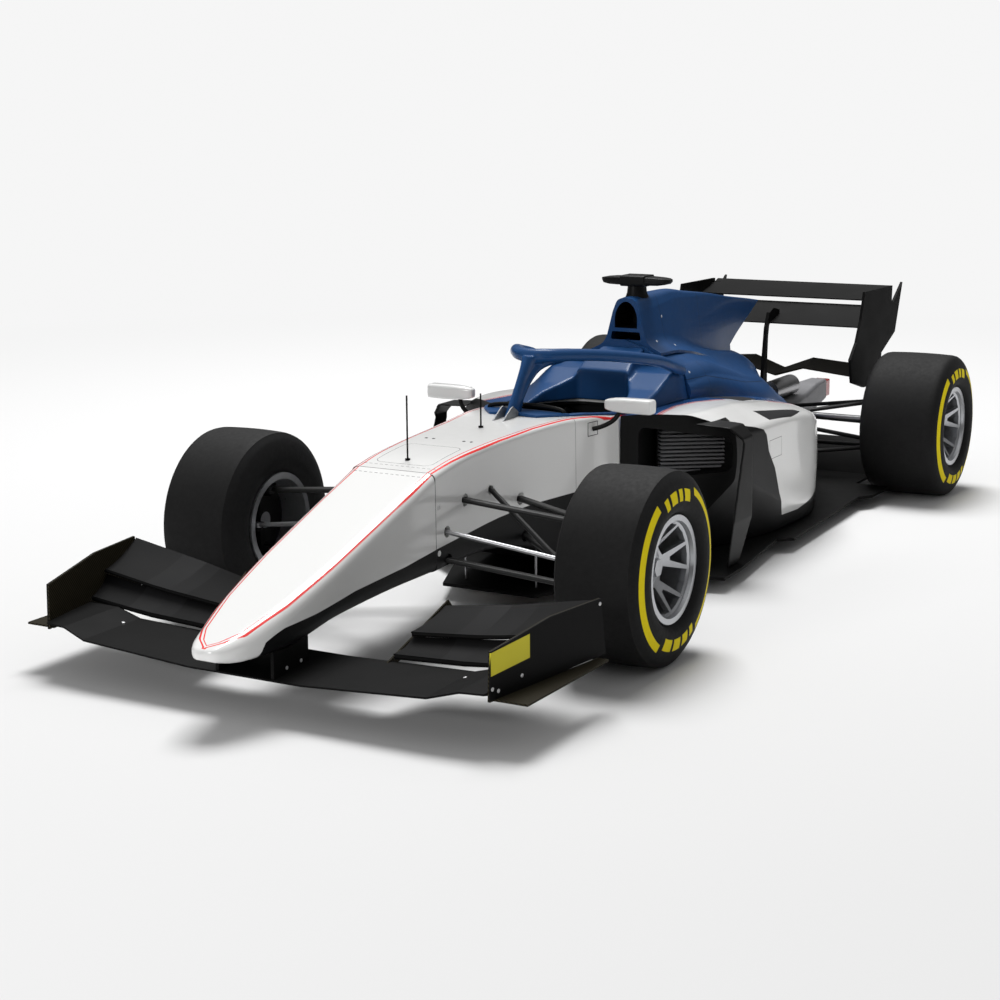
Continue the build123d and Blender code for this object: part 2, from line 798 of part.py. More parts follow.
def inlet_plane(side, depth):
    """The upright plane of a sidepod's mouth, set back by a depth: local x runs outboard."""
    along = Vector(side * inlet_run.X, inlet_run.Y).normalized()
    back = Vector(-side * inlet_run.Y, inlet_run.X).normalized()
    start = Vector(side * inlet_inner[0], at(inlet_inner[1])) + back * depth
    return Plane(origin=start, x_dir=along, z_dir=-back * side)


def mouth_corners(margin):
    """The corners of a sidepod's mouth in its own plane, drawn in by a margin."""
    low_share, high_share = inlet_top_share
    near, far = low_share * inlet_run.length + margin, high_share * inlet_run.length - margin
    return [
        (near, inlet_low + margin), (far, inlet_low_outer + margin),
        (far, inlet_high_outer - margin), (near, inlet_high - margin),
    ]


for side, name in ((1, "left"), (-1, "right")):
    with BuildPart() as sidepod:
        loft([pod_outline(side, *row) for row in pod_stations], ruled=True)
        # Everything in front of the mouth's slanted plane is cut away
        slope = inlet_run.Y / inlet_run.X
        near_x, far_x = inlet_inner[0] / 2, width / 2
        front = [
            (side * near_x, at(inlet_inner[1] + slope * (near_x - inlet_inner[0]))),
            (side * far_x, at(inlet_inner[1] + slope * (far_x - inlet_inner[0]))),
            (side * far_x, at(0)),
            (side * near_x, at(0)),
        ]
        extrude(outline(Plane.XY, front), amount=far_x, mode=Mode.SUBTRACT)
        mouth = outline(inlet_plane(side, -cut_overrun), mouth_corners(0), inlet_corner)
        extrude(mouth, amount=-side * (inlet_depth + cut_overrun), mode=Mode.SUBTRACT)
        loft(tub_loft(nose_seam, engine_face, -seat_gap), ruled=True, mode=Mode.SUBTRACT)
    save(sidepod, f"sidepod_{name}")

with BuildPart() as radiators:
    for side in (1, -1):
        core_depth = inlet_depth - radiator_thickness
        core = outline(inlet_plane(side, core_depth), mouth_corners(2 * seat_gap), inlet_corner)
        extrude(core, amount=-side * (radiator_thickness - seat_gap))
        near, far = (place[0] for place in mouth_corners(inlet_corner / 2)[:2])
        for row in range(radiator_slats):
            share = (row + 0.5) / radiator_slats
            low = inlet_low + share * (inlet_high_outer - inlet_corner / 2 - inlet_low)
            slat = [(near, low), (far, low), (far, low + slat_height), (near, low + slat_height)]
            extrude(outline(inlet_plane(side, core_depth - slat_depth), slat), amount=-side * slat_depth)
    loft(tub_loft(nose_seam, engine_face, -2 * seat_gap), ruled=True, mode=Mode.SUBTRACT)
save(radiators, "radiators")

# Halo: a hoop round the cockpit on a slim pylon. Hoop, left half: x, station, z
hoop_points = [
    (0, 752, 888), (58, 768, 890), (112, 838, 887), (168, 935, 878), (222, 1045, 863),
    (262, 1150, 845), (286, 1270, 821), (292, 1370, 791), (280, 1500, 755),
]
hoop_radius = 23
hoop_spans = 22
# Columns: station, height, chord, thickness
pylon_stations = [(596, 664, 112, 36), (668, 790, 74, 30), (742, 880, 78, 34)]
halo_foot_clear = 27
halo_foot_clear_length = 62
bracket_thickness = 5
bracket_points = [(470, 668), (640, 668), (600, 700), (562, 722), (548, 718)]


def hoop_loft(radius, mode=Mode.ADD):
    """The tube of the halo's hoop, from one rear mount round to the other, in short straight spans."""
    hoop = [(-x, at(station), z) for x, station, z in reversed(hoop_points[1:])]
    hoop += [(x, at(station), z) for x, station, z in hoop_points]
    line = Spline(*hoop, mode=Mode.PRIVATE)
    sections = []
    for index in range(hoop_spans + 1):
        share = index / hoop_spans
        with BuildSketch(Plane(origin=line @ share, x_dir=(0, 0, 1), z_dir=line % share)) as section:
            Circle(radius)
        sections.append(section.sketch)
    loft(sections, ruled=True, mode=mode)


# Cockpit surround: a low rim round the opening and the raised shoulders behind it
rim_height = 11
rim_front = 598
# Columns: station, half width of the rim's outer edge
rim_edge = [(rim_front, 104), (655, 150), (720, 196), (820, 238), (980, 262), (1190, 276)]
surround_rear = cover_front - seat_gap
# Columns: station, half width below, half width of the top, top
surround_stations = [
    (1080, 286, 280, 652), (1276, 293, 280, 702), (1410, 296, 274, 752), (surround_rear, 298, 268, 760),
]
# Columns: station, half width below, half width of the top, top
headrest_stations = [(1300, 150, 120, 720), (1400, 140, 110, 790), (surround_rear, 104, 92, 832)]
headrest_back = 1352
headrest_depth = 610
# Columns: station, half width of the space for the helmet
helmet_edge = [(1000, 200), (1190, 184), (1260, 160), (headrest_back, 110)]

with BuildPart() as cockpit_surround:
    loft(tub_loft(rim_front, rim_edge[-1][0], 0, rim_height), ruled=True)
    right = [(half, at(station)) for station, half in rim_edge]
    ring = right + [(-x, y) for x, y in reversed(right)]
    extrude(outline(Plane.XY, ring), amount=width, mode=Mode.INTERSECT)
    for table in (surround_stations, headrest_stations):
        sections = []
        for station, half_low, half_top, top in table:
            right = [(half_low, tub_stations[-1][4]), (half_top, top)]
            sections.append(outline(across(at(station)), right + [(-x, z) for x, z in reversed(right)]))
        loft(sections, ruled=True)
    right = [(half, at(station)) for station, half in cockpit_edge[:4]]
    right += [(half, at(station)) for station, half in helmet_edge]
    space = right + [(-x, y) for x, y in reversed(right)]
    extrude(outline(Plane.XY.offset(headrest_depth), space, cockpit_corner), amount=width, mode=Mode.SUBTRACT)
    loft(tub_loft(nose_seam, engine_face, -seat_gap), ruled=True, mode=Mode.SUBTRACT)
    # Room for the foot of the halo and its bracket
    with BuildSketch(Plane.XY.offset(headrest_depth)):
        with Locations((0, at(rim_front))):
            Rectangle(2 * halo_foot_clear, 2 * halo_foot_clear_length)
    extrude(amount=width, mode=Mode.SUBTRACT)
    hoop_loft(hoop_radius + seat_gap, Mode.SUBTRACT)
save(cockpit_surround, "cockpit_surround")

with BuildPart() as halo:
    hoop_loft(hoop_radius)
    sections = []
    for station, z, chord, thickness in pylon_stations:
        with BuildSketch(Plane.XY.offset(z)) as section:
            with Locations((0, at(station))):
                Ellipse(thickness / 2, chord / 2)
        sections.append(section.sketch)
    loft(sections, ruled=True)
    loft(tub_loft(nose_seam, engine_face, -seat_gap), ruled=True, mode=Mode.SUBTRACT)
save(halo, "halo")

with BuildPart() as halo_bracket:
    profile = [(at(station), z) for station, z in bracket_points]
    for side in (1, -1):
        inner = pylon_stations[0][3] / 2 + seat_gap
        extrude(outline(Plane.YZ.offset(side * inner), profile), amount=side * bracket_thickness)
    loft(tub_loft(nose_seam, engine_face, -seat_gap), ruled=True, mode=Mode.SUBTRACT)
save(halo_bracket, "halo_bracket")

# Cockpit fittings: seat, dash panel, steering wheel
seat_half_width = 190
seat_trough_radius = 168
# The seat's side outline: station, height
seat_profile = [
    (830, 70), (1370, 70), (1370, 560), (1330, 600), (1240, 590), (1140, 330), (1040, 250), (850, 290),
]
# The line of the trough that the driver lies in: station, height
trough_line = [(890, 378), (1120, 368), (1300, 700)]
trough_before_share = 0.2
trough_after_share = 0.4
dash_station = 612
dash_thickness = 12
dash_bottom = 470
dash_half = 176
column_radius = 14
wheel_station = 735
wheel_hub_z = 600
steering_wheel_half_width = 135
steering_wheel_half_height = 72
steering_wheel_depth = 34
grip_cut_radius = 34
column_tilt_share = 0.10
grip_place_share = 0.62

with BuildPart() as cockpit_seat:
    profile = [(at(station), z) for station, z in seat_profile]
    extrude(outline(Plane.YZ.offset(-seat_half_width), profile, cockpit_corner), amount=2 * seat_half_width)
    trough = [Vector(0, at(station), z) for station, z in trough_line]
    for start, end in zip(trough, trough[1:]):
        low = start - (end - start) * trough_before_share
        high = end + (end - start) * trough_after_share
        with BuildSketch(Plane(origin=low, x_dir=(1, 0, 0), z_dir=high - low)) as section:
            Circle(seat_trough_radius)
        extrude(section.sketch, amount=(high - low).length, mode=Mode.SUBTRACT)
    loft(tub_loft(nose_seam + front_bulkhead, engine_face - rear_bulkhead, tub_wall + seat_gap),
         ruled=True, mode=Mode.INTERSECT)
save(cockpit_seat, "cockpit_seat")

# The steering column's axis runs forward and down from the wheel
column_axis = Vector(0, -1, -column_tilt_share).normalized()
wheel_centre = Vector(0, at(wheel_station), wheel_hub_z)
column_length = (wheel_station - dash_station) / abs(column_axis.Y) + 2 * dash_thickness
column_plane = Plane(origin=wheel_centre, x_dir=(1, 0, 0), z_dir=column_axis)

with BuildPart() as dash_panel:
    panel = [(dash_half, dash_bottom), (dash_half, tub_stations[5][4]), (-dash_half, tub_stations[5][4]),
             (-dash_half, dash_bottom)]
    extrude(outline(across(at(dash_station)), panel), amount=-dash_thickness)
    loft(tub_loft(nose_seam, engine_face, tub_wall + seat_gap), ruled=True, mode=Mode.INTERSECT)
    with BuildSketch(column_plane) as bore:
        Circle(column_radius + running_gap)
    extrude(bore.sketch, amount=2 * column_length, mode=Mode.SUBTRACT)
save(dash_panel, "dash_panel")

with BuildPart() as steering_wheel:
    with BuildSketch(column_plane) as section:
        Circle(column_radius)
    extrude(section.sketch, amount=column_length)
    with BuildSketch(column_plane) as rim_face:
        RectangleRounded(2 * steering_wheel_half_width, 2 * steering_wheel_half_height, grip_cut_radius)
        for side in (1, -1):
            with Locations((side * steering_wheel_half_width * grip_place_share, 0)):
                SlotOverall(grip_cut_radius * 2, grip_cut_radius, rotation=90, mode=Mode.SUBTRACT)
    extrude(rim_face.sketch, amount=-steering_wheel_depth)
save(steering_wheel, "steering_wheel")

# Mirrors
mirror_inner_x = 286
mirror_outer_x = 480
mirror_station = 802
mirror_depth = 56
mirror_bottom = 690
mirror_top = 746
mirror_corner = 13
mirror_tip_share = 0.7
mirror_foot = (244, 772, 622)
mirror_knee = (318, 786, 655)
mirror_stalk_radius = 9

with BuildPart() as mirrors:
    for side in (1, -1):
        sections = []
        for x, share in ((mirror_inner_x, mirror_tip_share), (mirror_inner_x + mirror_depth, 1), (mirror_outer_x, 1)):
            with BuildSketch(Plane.YZ.offset(side * x)) as section:
                with Locations((at(mirror_station), (mirror_bottom + mirror_top) / 2)):
                    RectangleRounded(share * mirror_depth, share * (mirror_top - mirror_bottom), mirror_corner)
            sections.append(section.sketch)
        loft(sections, ruled=True)
        foot, knee = placed(mirror_foot, side), placed(mirror_knee, side)
        rod(foot, knee, mirror_stalk_radius)
        with Locations(knee):
            Sphere(mirror_stalk_radius)
        top = Vector(knee.X + side * mirror_depth / 2, at(mirror_station), mirror_bottom + mirror_corner)
        rod(knee, top, mirror_stalk_radius)
    loft(tub_loft(nose_seam, engine_face, -seat_gap), ruled=True, mode=Mode.SUBTRACT)
save(mirrors, "mirrors")

# Aerials: station, length
aerials = [(-138, 222), (362, 124)]
aerial_radius = 3
aerial_foot_radius = 9
aerial_foot_height = 6

with BuildPart() as antennas:
    for station, rise in aerials:
        seat_z = between(tub_stations, station, 4) + seat_gap
        with BuildSketch(Plane.XY.offset(seat_z)):
            with Locations((0, at(station))):
                Circle(aerial_foot_radius)
        extrude(amount=aerial_foot_height)
        with BuildSketch(Plane.XY.offset(seat_z)):
            with Locations((0, at(station))):
                Circle(aerial_radius)
        extrude(amount=rise)
    loft(tub_loft(nose_seam, engine_face, -seat_gap), ruled=True, mode=Mode.SUBTRACT)
save(antennas, "antennas")

# Front wing
plane_end_inset = 50
flap_end_inset = 10
flap_end_x = width / 2 - flap_end_inset
# Columns: x, leading station, its height, trailing station, its height
plane_stations = [
    (0, -1090, 128, -812, 148), (210, -1090, 128, -814, 148), (641, -1080, 152, -797, 156),
    (739, -1061, 178, -792, 182),
    (width / 2 - plane_end_inset, -1044, 182, -786, 186),
]
plane_thickness = 22
plane_camber = 8
wing_edge = 3
flap_thickness = 10
flap_camber = 12
# Flaps, each: columns x, leading station, its height, trailing station, its height
lower_flap = [(350, -806, 172, -716, 206), (600, -790, 178, -690, 222), (flap_end_x, -786, 204, -680, 262)]
upper_flap = [(350, -724, 222, -574, 271), (600, -702, 238, -487, 284), (flap_end_x, -696, 278, -488, 346)]
fence_front = (352, -836)
fence_rear = (398, -540)
fence_thickness = 6
fence_outline = [(-836, 150), (-540, 289), (-520, 262), (-690, 176), (-800, 138)]
plate_front_inset = 130
plate_rear_inset = 42
plate_front = (width / 2 - plate_front_inset, -1040)
plate_rear = (width / 2 - plate_rear_inset, -478)
plate_thickness = 9
# The end plate's side outline: station, height
plate_outline = [(-1036, 155), (-1030, 304), (-750, 346), (-497, 348), (-472, 168)]
foot_front_inset = 12
foot_rear_inset = 8
foot_outline = [(-1012, width / 2 - foot_front_inset), (-500, width / 2 - foot_rear_inset)]
foot_bottom = 152
foot_thickness = 7
pylon_half_track = 104
pylon_thickness = 12
pylon_outline = [(-1086, 132), (-905, 138), (-905, 300), (-1086, 300)]


def wing_section(x, lead_y, lead_z, trail_y, trail_z, thickness, camber):
    """A wing section that presses down, in the plane along the car at x."""
    lead, trail = Vector(lead_y, lead_z), Vector(trail_y, trail_z)
    chord = trail - lead
    up = Vector(-chord.Y, chord.X).normalized()
    middle = lead + chord / 2 - up * camber
    with BuildSketch(Plane.YZ.offset(x)) as sketch:
        with BuildLine():
            top = ThreePointArc(lead + up * wing_edge, middle + up * thickness / 2, trail + up * wing_edge / 2)
            bottom = ThreePointArc(
                lead - up * wing_edge, middle - up * thickness / 2, trail - up * wing_edge / 2
            )
            Line(top @ 0, bottom @ 0)
            Line(top @ 1, bottom @ 1)
        make_face()
    return sketch.sketch


def wing_loft(table, side, thickness, camber, place=at, mode=Mode.ADD):
    """A wing between the rows of a table, on one side of the car."""
    sections = []
    for x, lead_station, lead_z, trail_station, trail_z in table:
        sections.append(
            wing_section(side * x, place(lead_station), lead_z, place(trail_station), trail_z, thickness, camber)
        )
    loft(sections, ruled=True, mode=mode)


plate_run = Vector(plate_rear[0] - plate_front[0], plate_rear[1] - plate_front[1])
plate_slope = plate_run.X / plate_run.Y


def plate_x(station):
    """The X of the end plate's inner face at a station."""
    return plate_front[0] + plate_slope * (station - plate_front[1])


def outside_plates(side, gap):
    """The plan of all that lies outboard of one end plate's inner face."""
    front, rear = 2 * plate_front[1], 0
    corners = [(plate_x(front) - gap, front), (plate_x(rear) - gap, rear), (width, rear), (width, front)]
    return outline(Plane.XY, [(side * x, at(station)) for x, station in corners])


fence_slope = (fence_rear[0] - fence_front[0]) / (fence_rear[1] - fence_front[1])


def inside_fence(side):
    """The plan of all that lies inboard of one fence's outer face."""
    front, rear = 2 * fence_front[1], 0
    near, far = (fence_front[0] + fence_slope * (place - fence_front[1]) for place in (front, rear))
    corners = [(near, front), (far, rear), (0, rear), (0, front)]
    return outline(Plane.XY, [(side * x, at(station)) for x, station in corners])


with BuildPart() as front_wing:
    for side in (1, -1):
        wing_loft(plane_stations, side, plane_thickness, plane_camber)
        profile = [(at(station), z) for station, z in pylon_outline]
        inner = side * (pylon_half_track - pylon_thickness / 2)
        extrude(outline(Plane.YZ.offset(inner), profile), amount=side * pylon_thickness)
        extrude(outside_plates(side, seat_gap), amount=width, mode=Mode.SUBTRACT)
    sections = []
    for station, half_top, half_bottom, bottom, top, radius in nose_stations:
        sections.append(
            tub_outline(station, half_top + seat_gap, half_bottom + seat_gap, bottom - seat_gap, top, radius)
        )
    loft(sections, ruled=True, mode=Mode.SUBTRACT)
save(front_wing, "front_wing")

def slanted_plate(side, front, rear, points, thickness):
    """An upright plate that flares outboard towards the rear: points are station, height."""
    run = Vector(side * (rear[0] - front[0]), rear[1] - front[1])
    start = Vector(side * front[0], at(front[1]))
    along = run.normalized()
    plane = Plane(origin=start, x_dir=along, z_dir=along.cross(Vector(0, 0, 1)))
    stretch = run.length / (rear[1] - front[1])
    corners = [((station - front[1]) * stretch, z) for station, z in points]
    extrude(outline(plane, corners), amount=side * thickness)


with BuildPart() as front_flaps:
    for side in (1, -1):
        for table in (lower_flap, upper_flap):
            wing_loft(table, side, flap_thickness, flap_camber)
        extrude(outside_plates(side, seat_gap), amount=width, mode=Mode.SUBTRACT)
        extrude(inside_fence(side), amount=width, mode=Mode.SUBTRACT)
        slanted_plate(side, fence_front, fence_rear, fence_outline, -fence_thickness)
        wing_loft(plane_stations, side, plane_thickness + seat_gap, plane_camber, mode=Mode.SUBTRACT)
save(front_flaps, "front_flaps")

with BuildPart() as front_endplates:
    for side in (1, -1):
        slanted_plate(side, plate_front, plate_rear, plate_outline, plate_thickness)
        corners = [(plate_x(station), station) for station, _ in foot_outline]
        corners += [(x, station) for station, x in reversed(foot_outline)]
        foot = outline(Plane.XY.offset(foot_bottom), [(side * x, at(station)) for x, station in corners])
        extrude(foot, amount=foot_thickness)
save(front_endplates, "front_endplates")

# Side vanes before the sidepods: an arch seen from the front, cut to shape seen from the side
vane_thickness = 8
# The vane's line seen from the front: x, height
vane_line = [(470, 612), (648, 604), (690, 560), (704, 250), (662, floor_top + seat_gap)]
vane_bend = 26
# The vane seen from the side: station, height
vane_side = [
    (1100, 640), (1262, 640), (1268, 560), (1240, 250), (1212, 40), (1108, 40), (1052, 250), (1178, 540),
]


def vane_strip(side):
    """The vane's strip seen from the front, with one even thickness."""
    outer = [(side * x, z) for x, z in vane_line]
    inner = [(side * (x - vane_thickness), z - vane_thickness) for x, z in vane_line[:-1]]
    inner.append((side * (vane_line[-1][0] - vane_thickness), vane_line[-1][1]))
    return outline(across(at(vane_side[6][0])), outer + list(reversed(inner)))


with BuildPart() as side_vanes:
    for side in (1, -1):
        extrude(vane_strip(side), amount=-(vane_side[1][0] - vane_side[6][0]) - cut_overrun)
    profile = [(at(station), z) for station, z in vane_side]
    extrude(outline(Plane.YZ, profile), amount=width / 2, both=True, mode=Mode.INTERSECT)
    for side in (1, -1):
        loft([pod_outline(side, *row) for row in pod_stations], ruled=True, mode=Mode.SUBTRACT)
save(side_vanes, "side_vanes")

# Rear wing: two end plates carry the plane and the beam wing, the flap turns on pins between them
plate_gap = 5
wing_tyre_gap = 103
wing_half = rear_tyre_inner_x - wing_tyre_gap
rear_plate_thickness = 12
# The end plate's side outline: distance behind the rear axle, height
rear_plate_outline = [
    (35, 928), (440, 924), (436, 850), (458, 838), (595, 928), (501, 692), (305, 611), (296, 472),
    (60, 472), (-115, 516), (-144, 628), (-65, 700), (-7, 802),
]
# Columns: x, leading distance behind the rear axle, its height, trailing distance, its height
main_plane = [(0, 12, 762, 250, 842), (wing_half - seat_gap, 12, 762, 250, 842)]
main_thickness = 26
main_camber = 20
flap_plane = [(0, 246, 866, 462, 920), (wing_half - plate_gap, 246, 866, 462, 920)]
drs_thickness = 16
drs_camber = 12
hinge_distance = 424
hinge_z = 905
hinge_pin_radius = 5
hinge_pin_inner = 30
beam_plane = [(0, 100, 498, 250, 516), (150, 96, 540, 240, 574), (wing_half - seat_gap, 92, 508, 230, 552)]
beam_thickness = 14
beam_camber = 10
rear_pylon_thickness = 16
# The pylon's side outline: distance behind the rear axle, height
rear_pylon_outline = [
    (-75, 362), (-46, 600), (-24, 740), (8, 812), (60, 830), (138, 815), (138, 784), (60, 766), (20, 762),
    (6, 750), (-4, 700), (-10, 600), (-5, 362),
]

with BuildPart() as rear_wing:
    for side in (1, -1):
        wing_loft(main_plane, side, main_thickness, main_camber, behind)
save(rear_wing, "rear_wing")

with BuildPart() as drs_flap:
    for side in (1, -1):
        wing_loft(flap_plane, side, drs_thickness, drs_camber, behind)
        inner_x = wing_half - plate_gap - hinge_pin_inner
        with BuildSketch(Plane.YZ.offset(side * inner_x)) as pin:
            with Locations((behind(hinge_distance), hinge_z)):
                Circle(hinge_pin_radius)
        extrude(pin.sketch, amount=side * (wing_half + rear_plate_thickness - inner_x))
save(drs_flap, "drs_flap")

with BuildPart() as beam_wing:
    for side in (1, -1):
        wing_loft(beam_plane, side, beam_thickness, beam_camber, behind)
save(beam_wing, "beam_wing")

with BuildPart() as rear_wing_endplates:
    for side in (1, -1):
        with BuildSketch(Plane.YZ.offset(side * wing_half)) as plate:
            with BuildLine():
                Polyline(*[(behind(distance), z) for distance, z in rear_plate_outline], close=True)
            make_face()
            with Locations((behind(hinge_distance), hinge_z)):
                Circle(hinge_pin_radius + running_gap, mode=Mode.SUBTRACT)
        extrude(plate.sketch, amount=side * rear_plate_thickness)
save(rear_wing_endplates, "rear_wing_endplates")

with BuildPart() as rear_wing_pylon:
    profile = [(behind(distance), z) for distance, z in rear_pylon_outline]
    extrude(outline(Plane.YZ.offset(-rear_pylon_thickness / 2), profile), amount=rear_pylon_thickness)
    for side in (1, -1):
        wing_loft(main_plane, side, main_thickness + 2 * seat_gap, main_camber, behind, Mode.SUBTRACT)
    gearbox_loft(seat_gap, Mode.SUBTRACT)
save(rear_wing_pylon, "rear_wing_pylon")

# Rear uprights and rear suspension
rear_leg_overlap = 44
rear_leg_end_x = rear_drum_x + rear_leg_overlap
# Every arm: x, distance behind the rear axle and height of its outer end, then of its inner end
rear_legs = [
    ((rear_leg_end_x, 0, 430), (100, -235, 350)), ((rear_leg_end_x, 0, 430), (95, 145, 345)),
    ((rear_leg_end_x, 0, 210), (100, -235, 165)), ((rear_leg_end_x, 0, 210), (95, 135, 175)),
]
rear_rods = [
    ((rear_leg_end_x, 95, 300), (92, 195, 290)), ((rear_leg_end_x, -15, 230), (100, -165, 318)),
]
rear_rod_radius = 10


def placed_behind(place, side):
    """A point of the rear suspension on one side of the car."""
    x, distance, z = place
    return Vector(side * x, behind(distance), z)



with BuildPart() as rear_uprights:
    for side in (1, -1):
        brake_drum(rear_drum_x, rear_axle_y, side)
        with BuildSketch(face_plane(rear_axle_end_x - cut_overrun, rear_axle_y, side)) as bore:
            Circle(axle_radius + running_gap)
        extrude(bore.sketch, amount=wheel_z, mode=Mode.SUBTRACT)
save(rear_uprights, "rear_uprights")

with BuildPart() as rear_suspension:
    for side in (1, -1):
        for outer, inner in rear_legs:
            blade(placed_behind(outer, side), placed_behind(inner, side), arm_chord, arm_thickness)
        for outer, inner in rear_rods:
            rod(placed_behind(outer, side), placed_behind(inner, side), rear_rod_radius)
    gearbox_loft(seat_gap, Mode.SUBTRACT)
    for side in (1, -1):
        with BuildSketch(face_plane(rear_drum_x - seat_gap, rear_axle_y, side)) as beyond:
            Circle(wheel_z)
        extrude(beyond.sketch, amount=wheel_z, mode=Mode.SUBTRACT)
save(rear_suspension, "rear_suspension")

# Drive shafts: each turns in the gearbox and carries a boot at both ends
boot_radius = 38
boot_length = 46
boot_gap = 6
boot_taper = 12
boot_inner_x = between(gearbox_stations, -shaft_radius, 1) + boot_gap

for side, name in ((1, "left"), (-1, "right")):
    with BuildPart() as driveshaft:
        with BuildSketch(face_plane(shaft_end_x, rear_axle_y, side)) as shaft:
            Circle(shaft_radius)
        extrude(shaft.sketch, amount=rear_axle_end_x - seat_gap - shaft_end_x)
        for x in (boot_inner_x, rear_axle_end_x - seat_gap - boot_length):
            with BuildSketch(face_plane(x, rear_axle_y, side)) as boot:
                Circle(boot_radius)
            extrude(boot.sketch, amount=boot_length, taper=boot_taper)
    save(driveshaft, f"driveshaft_{name}")

# Diffuser: a rising roof behind the floor with its strakes
diffuser_inset = 10
diffuser_half = floor_rear_half_width - diffuser_inset
diffuser_end = 350
diffuser_rise = 118
diffuser_thickness = 8
diffuser_side_bottom = 74
# The strakes: x, the height of their lower rear corner
diffuser_strakes = [(150, 120), (300, 108), (diffuser_half - diffuser_thickness, diffuser_side_bottom)]

with BuildPart() as diffuser:
    diffuser_start = floor_rear_from_axle + seat_gap
    roof_end = floor_bottom + diffuser_rise
    roof = [
        (behind(diffuser_start), floor_bottom), (behind(diffuser_end), roof_end),
        (behind(diffuser_end), roof_end + diffuser_thickness),
        (behind(diffuser_start), floor_bottom + diffuser_thickness),
    ]
    extrude(outline(Plane.YZ.offset(-diffuser_half), roof), amount=2 * diffuser_half)
    for side in (1, -1):
        for x, low in diffuser_strakes:
            strake = [roof[0], (behind(diffuser_end), low), roof[2], roof[3]]
            extrude(outline(Plane.YZ.offset(side * x), strake), amount=side * diffuser_thickness)
save(diffuser, "diffuser")

# Tailpipe on the gearbox
tailpipe_radius = 50
tailpipe_wall = 5
tailpipe_z = 420
tailpipe_start = 40
tailpipe_end = 330

with BuildPart() as tailpipe:
    with BuildSketch(across(behind(tailpipe_start))):
        with Locations((0, tailpipe_z)):
            Circle(tailpipe_radius)
    extrude(amount=tailpipe_start - tailpipe_end)
    with BuildSketch(across(behind(tailpipe_start + cut_overrun))):
        with Locations((0, tailpipe_z)):
            Circle(tailpipe_radius - tailpipe_wall)
    extrude(amount=tailpipe_start - tailpipe_end, mode=Mode.SUBTRACT)
    gearbox_loft(seat_gap, Mode.SUBTRACT)
save(tailpipe, "tailpipe")
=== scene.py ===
import json
import math

import bmesh
import bpy
import numpy as np
from mathutils import Matrix, Vector


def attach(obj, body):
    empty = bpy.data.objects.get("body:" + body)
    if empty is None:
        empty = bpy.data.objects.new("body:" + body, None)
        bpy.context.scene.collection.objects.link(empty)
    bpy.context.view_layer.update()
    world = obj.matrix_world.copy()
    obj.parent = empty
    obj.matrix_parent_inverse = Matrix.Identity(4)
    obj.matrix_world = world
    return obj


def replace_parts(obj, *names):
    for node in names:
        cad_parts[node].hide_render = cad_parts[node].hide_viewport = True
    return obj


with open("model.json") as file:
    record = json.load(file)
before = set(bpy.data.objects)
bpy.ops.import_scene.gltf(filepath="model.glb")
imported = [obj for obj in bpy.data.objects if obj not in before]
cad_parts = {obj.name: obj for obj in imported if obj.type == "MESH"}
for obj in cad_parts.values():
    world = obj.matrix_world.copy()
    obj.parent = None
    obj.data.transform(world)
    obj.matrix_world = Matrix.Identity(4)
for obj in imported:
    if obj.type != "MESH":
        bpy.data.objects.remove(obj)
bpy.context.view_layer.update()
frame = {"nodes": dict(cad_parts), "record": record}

# The whole car, in metres. A station is a distance behind the front axle.
LENGTH = 5.224
FRONT_AXLE = 1.290 - LENGTH / 2
REAR_AXLE = FRONT_AXLE + 3.135
WHEEL_Z = 0.330
SIDES = ((1, "left"), (-1, "right"))


def at(station):
    """The Y of a station in metres."""
    return FRONT_AXLE + station


def metres(line):
    return [(a / 1000, b / 1000) for a, b in line]


def turns(count):
    """The angles of a circle's points."""
    return [2 * math.pi * k / count for k in range(count)]


def placed(rows, side=1):
    """Rows of (x, station, z) in metres on one side of the car."""
    return [Vector((side * x, at(s), z)) for x, s, z in rows]


def stations(rows):
    """Rows of (station, value) in mm as (Y, value) in metres."""
    return [(at(s / 1000), v / 1000) for s, v in rows]


# The camera that took the photograph
EYE = (3.456, at(-5.627), 1.854)
YAW, PITCH, ROLL = math.radians(29.43), math.radians(-11.84), math.radians(-0.39)
SENSOR_WIDTH = 36
FOCAL_SHARE = 1.939
camera_data = bpy.data.cameras.new("camera")
camera = bpy.data.objects.new("camera", camera_data)
bpy.context.scene.collection.objects.link(camera)
forward = Vector((-math.sin(YAW) * math.cos(PITCH), math.cos(YAW) * math.cos(PITCH), math.sin(PITCH)))
right = forward.cross(Vector((0, 0, 1))).normalized()
up = right.cross(forward)
right, up = right * math.cos(ROLL) + up * math.sin(ROLL), up * math.cos(ROLL) - right * math.sin(ROLL)
camera.matrix_world = Matrix((
    (right.x, up.x, -forward.x, EYE[0]),
    (right.y, up.y, -forward.y, EYE[1]),
    (right.z, up.z, -forward.z, EYE[2]),
    (0, 0, 0, 1),
))
camera_data.sensor_width = SENSOR_WIDTH
camera_data.lens = SENSOR_WIDTH * FOCAL_SHARE
camera_data.clip_start = 0.05
bpy.context.scene.camera = camera


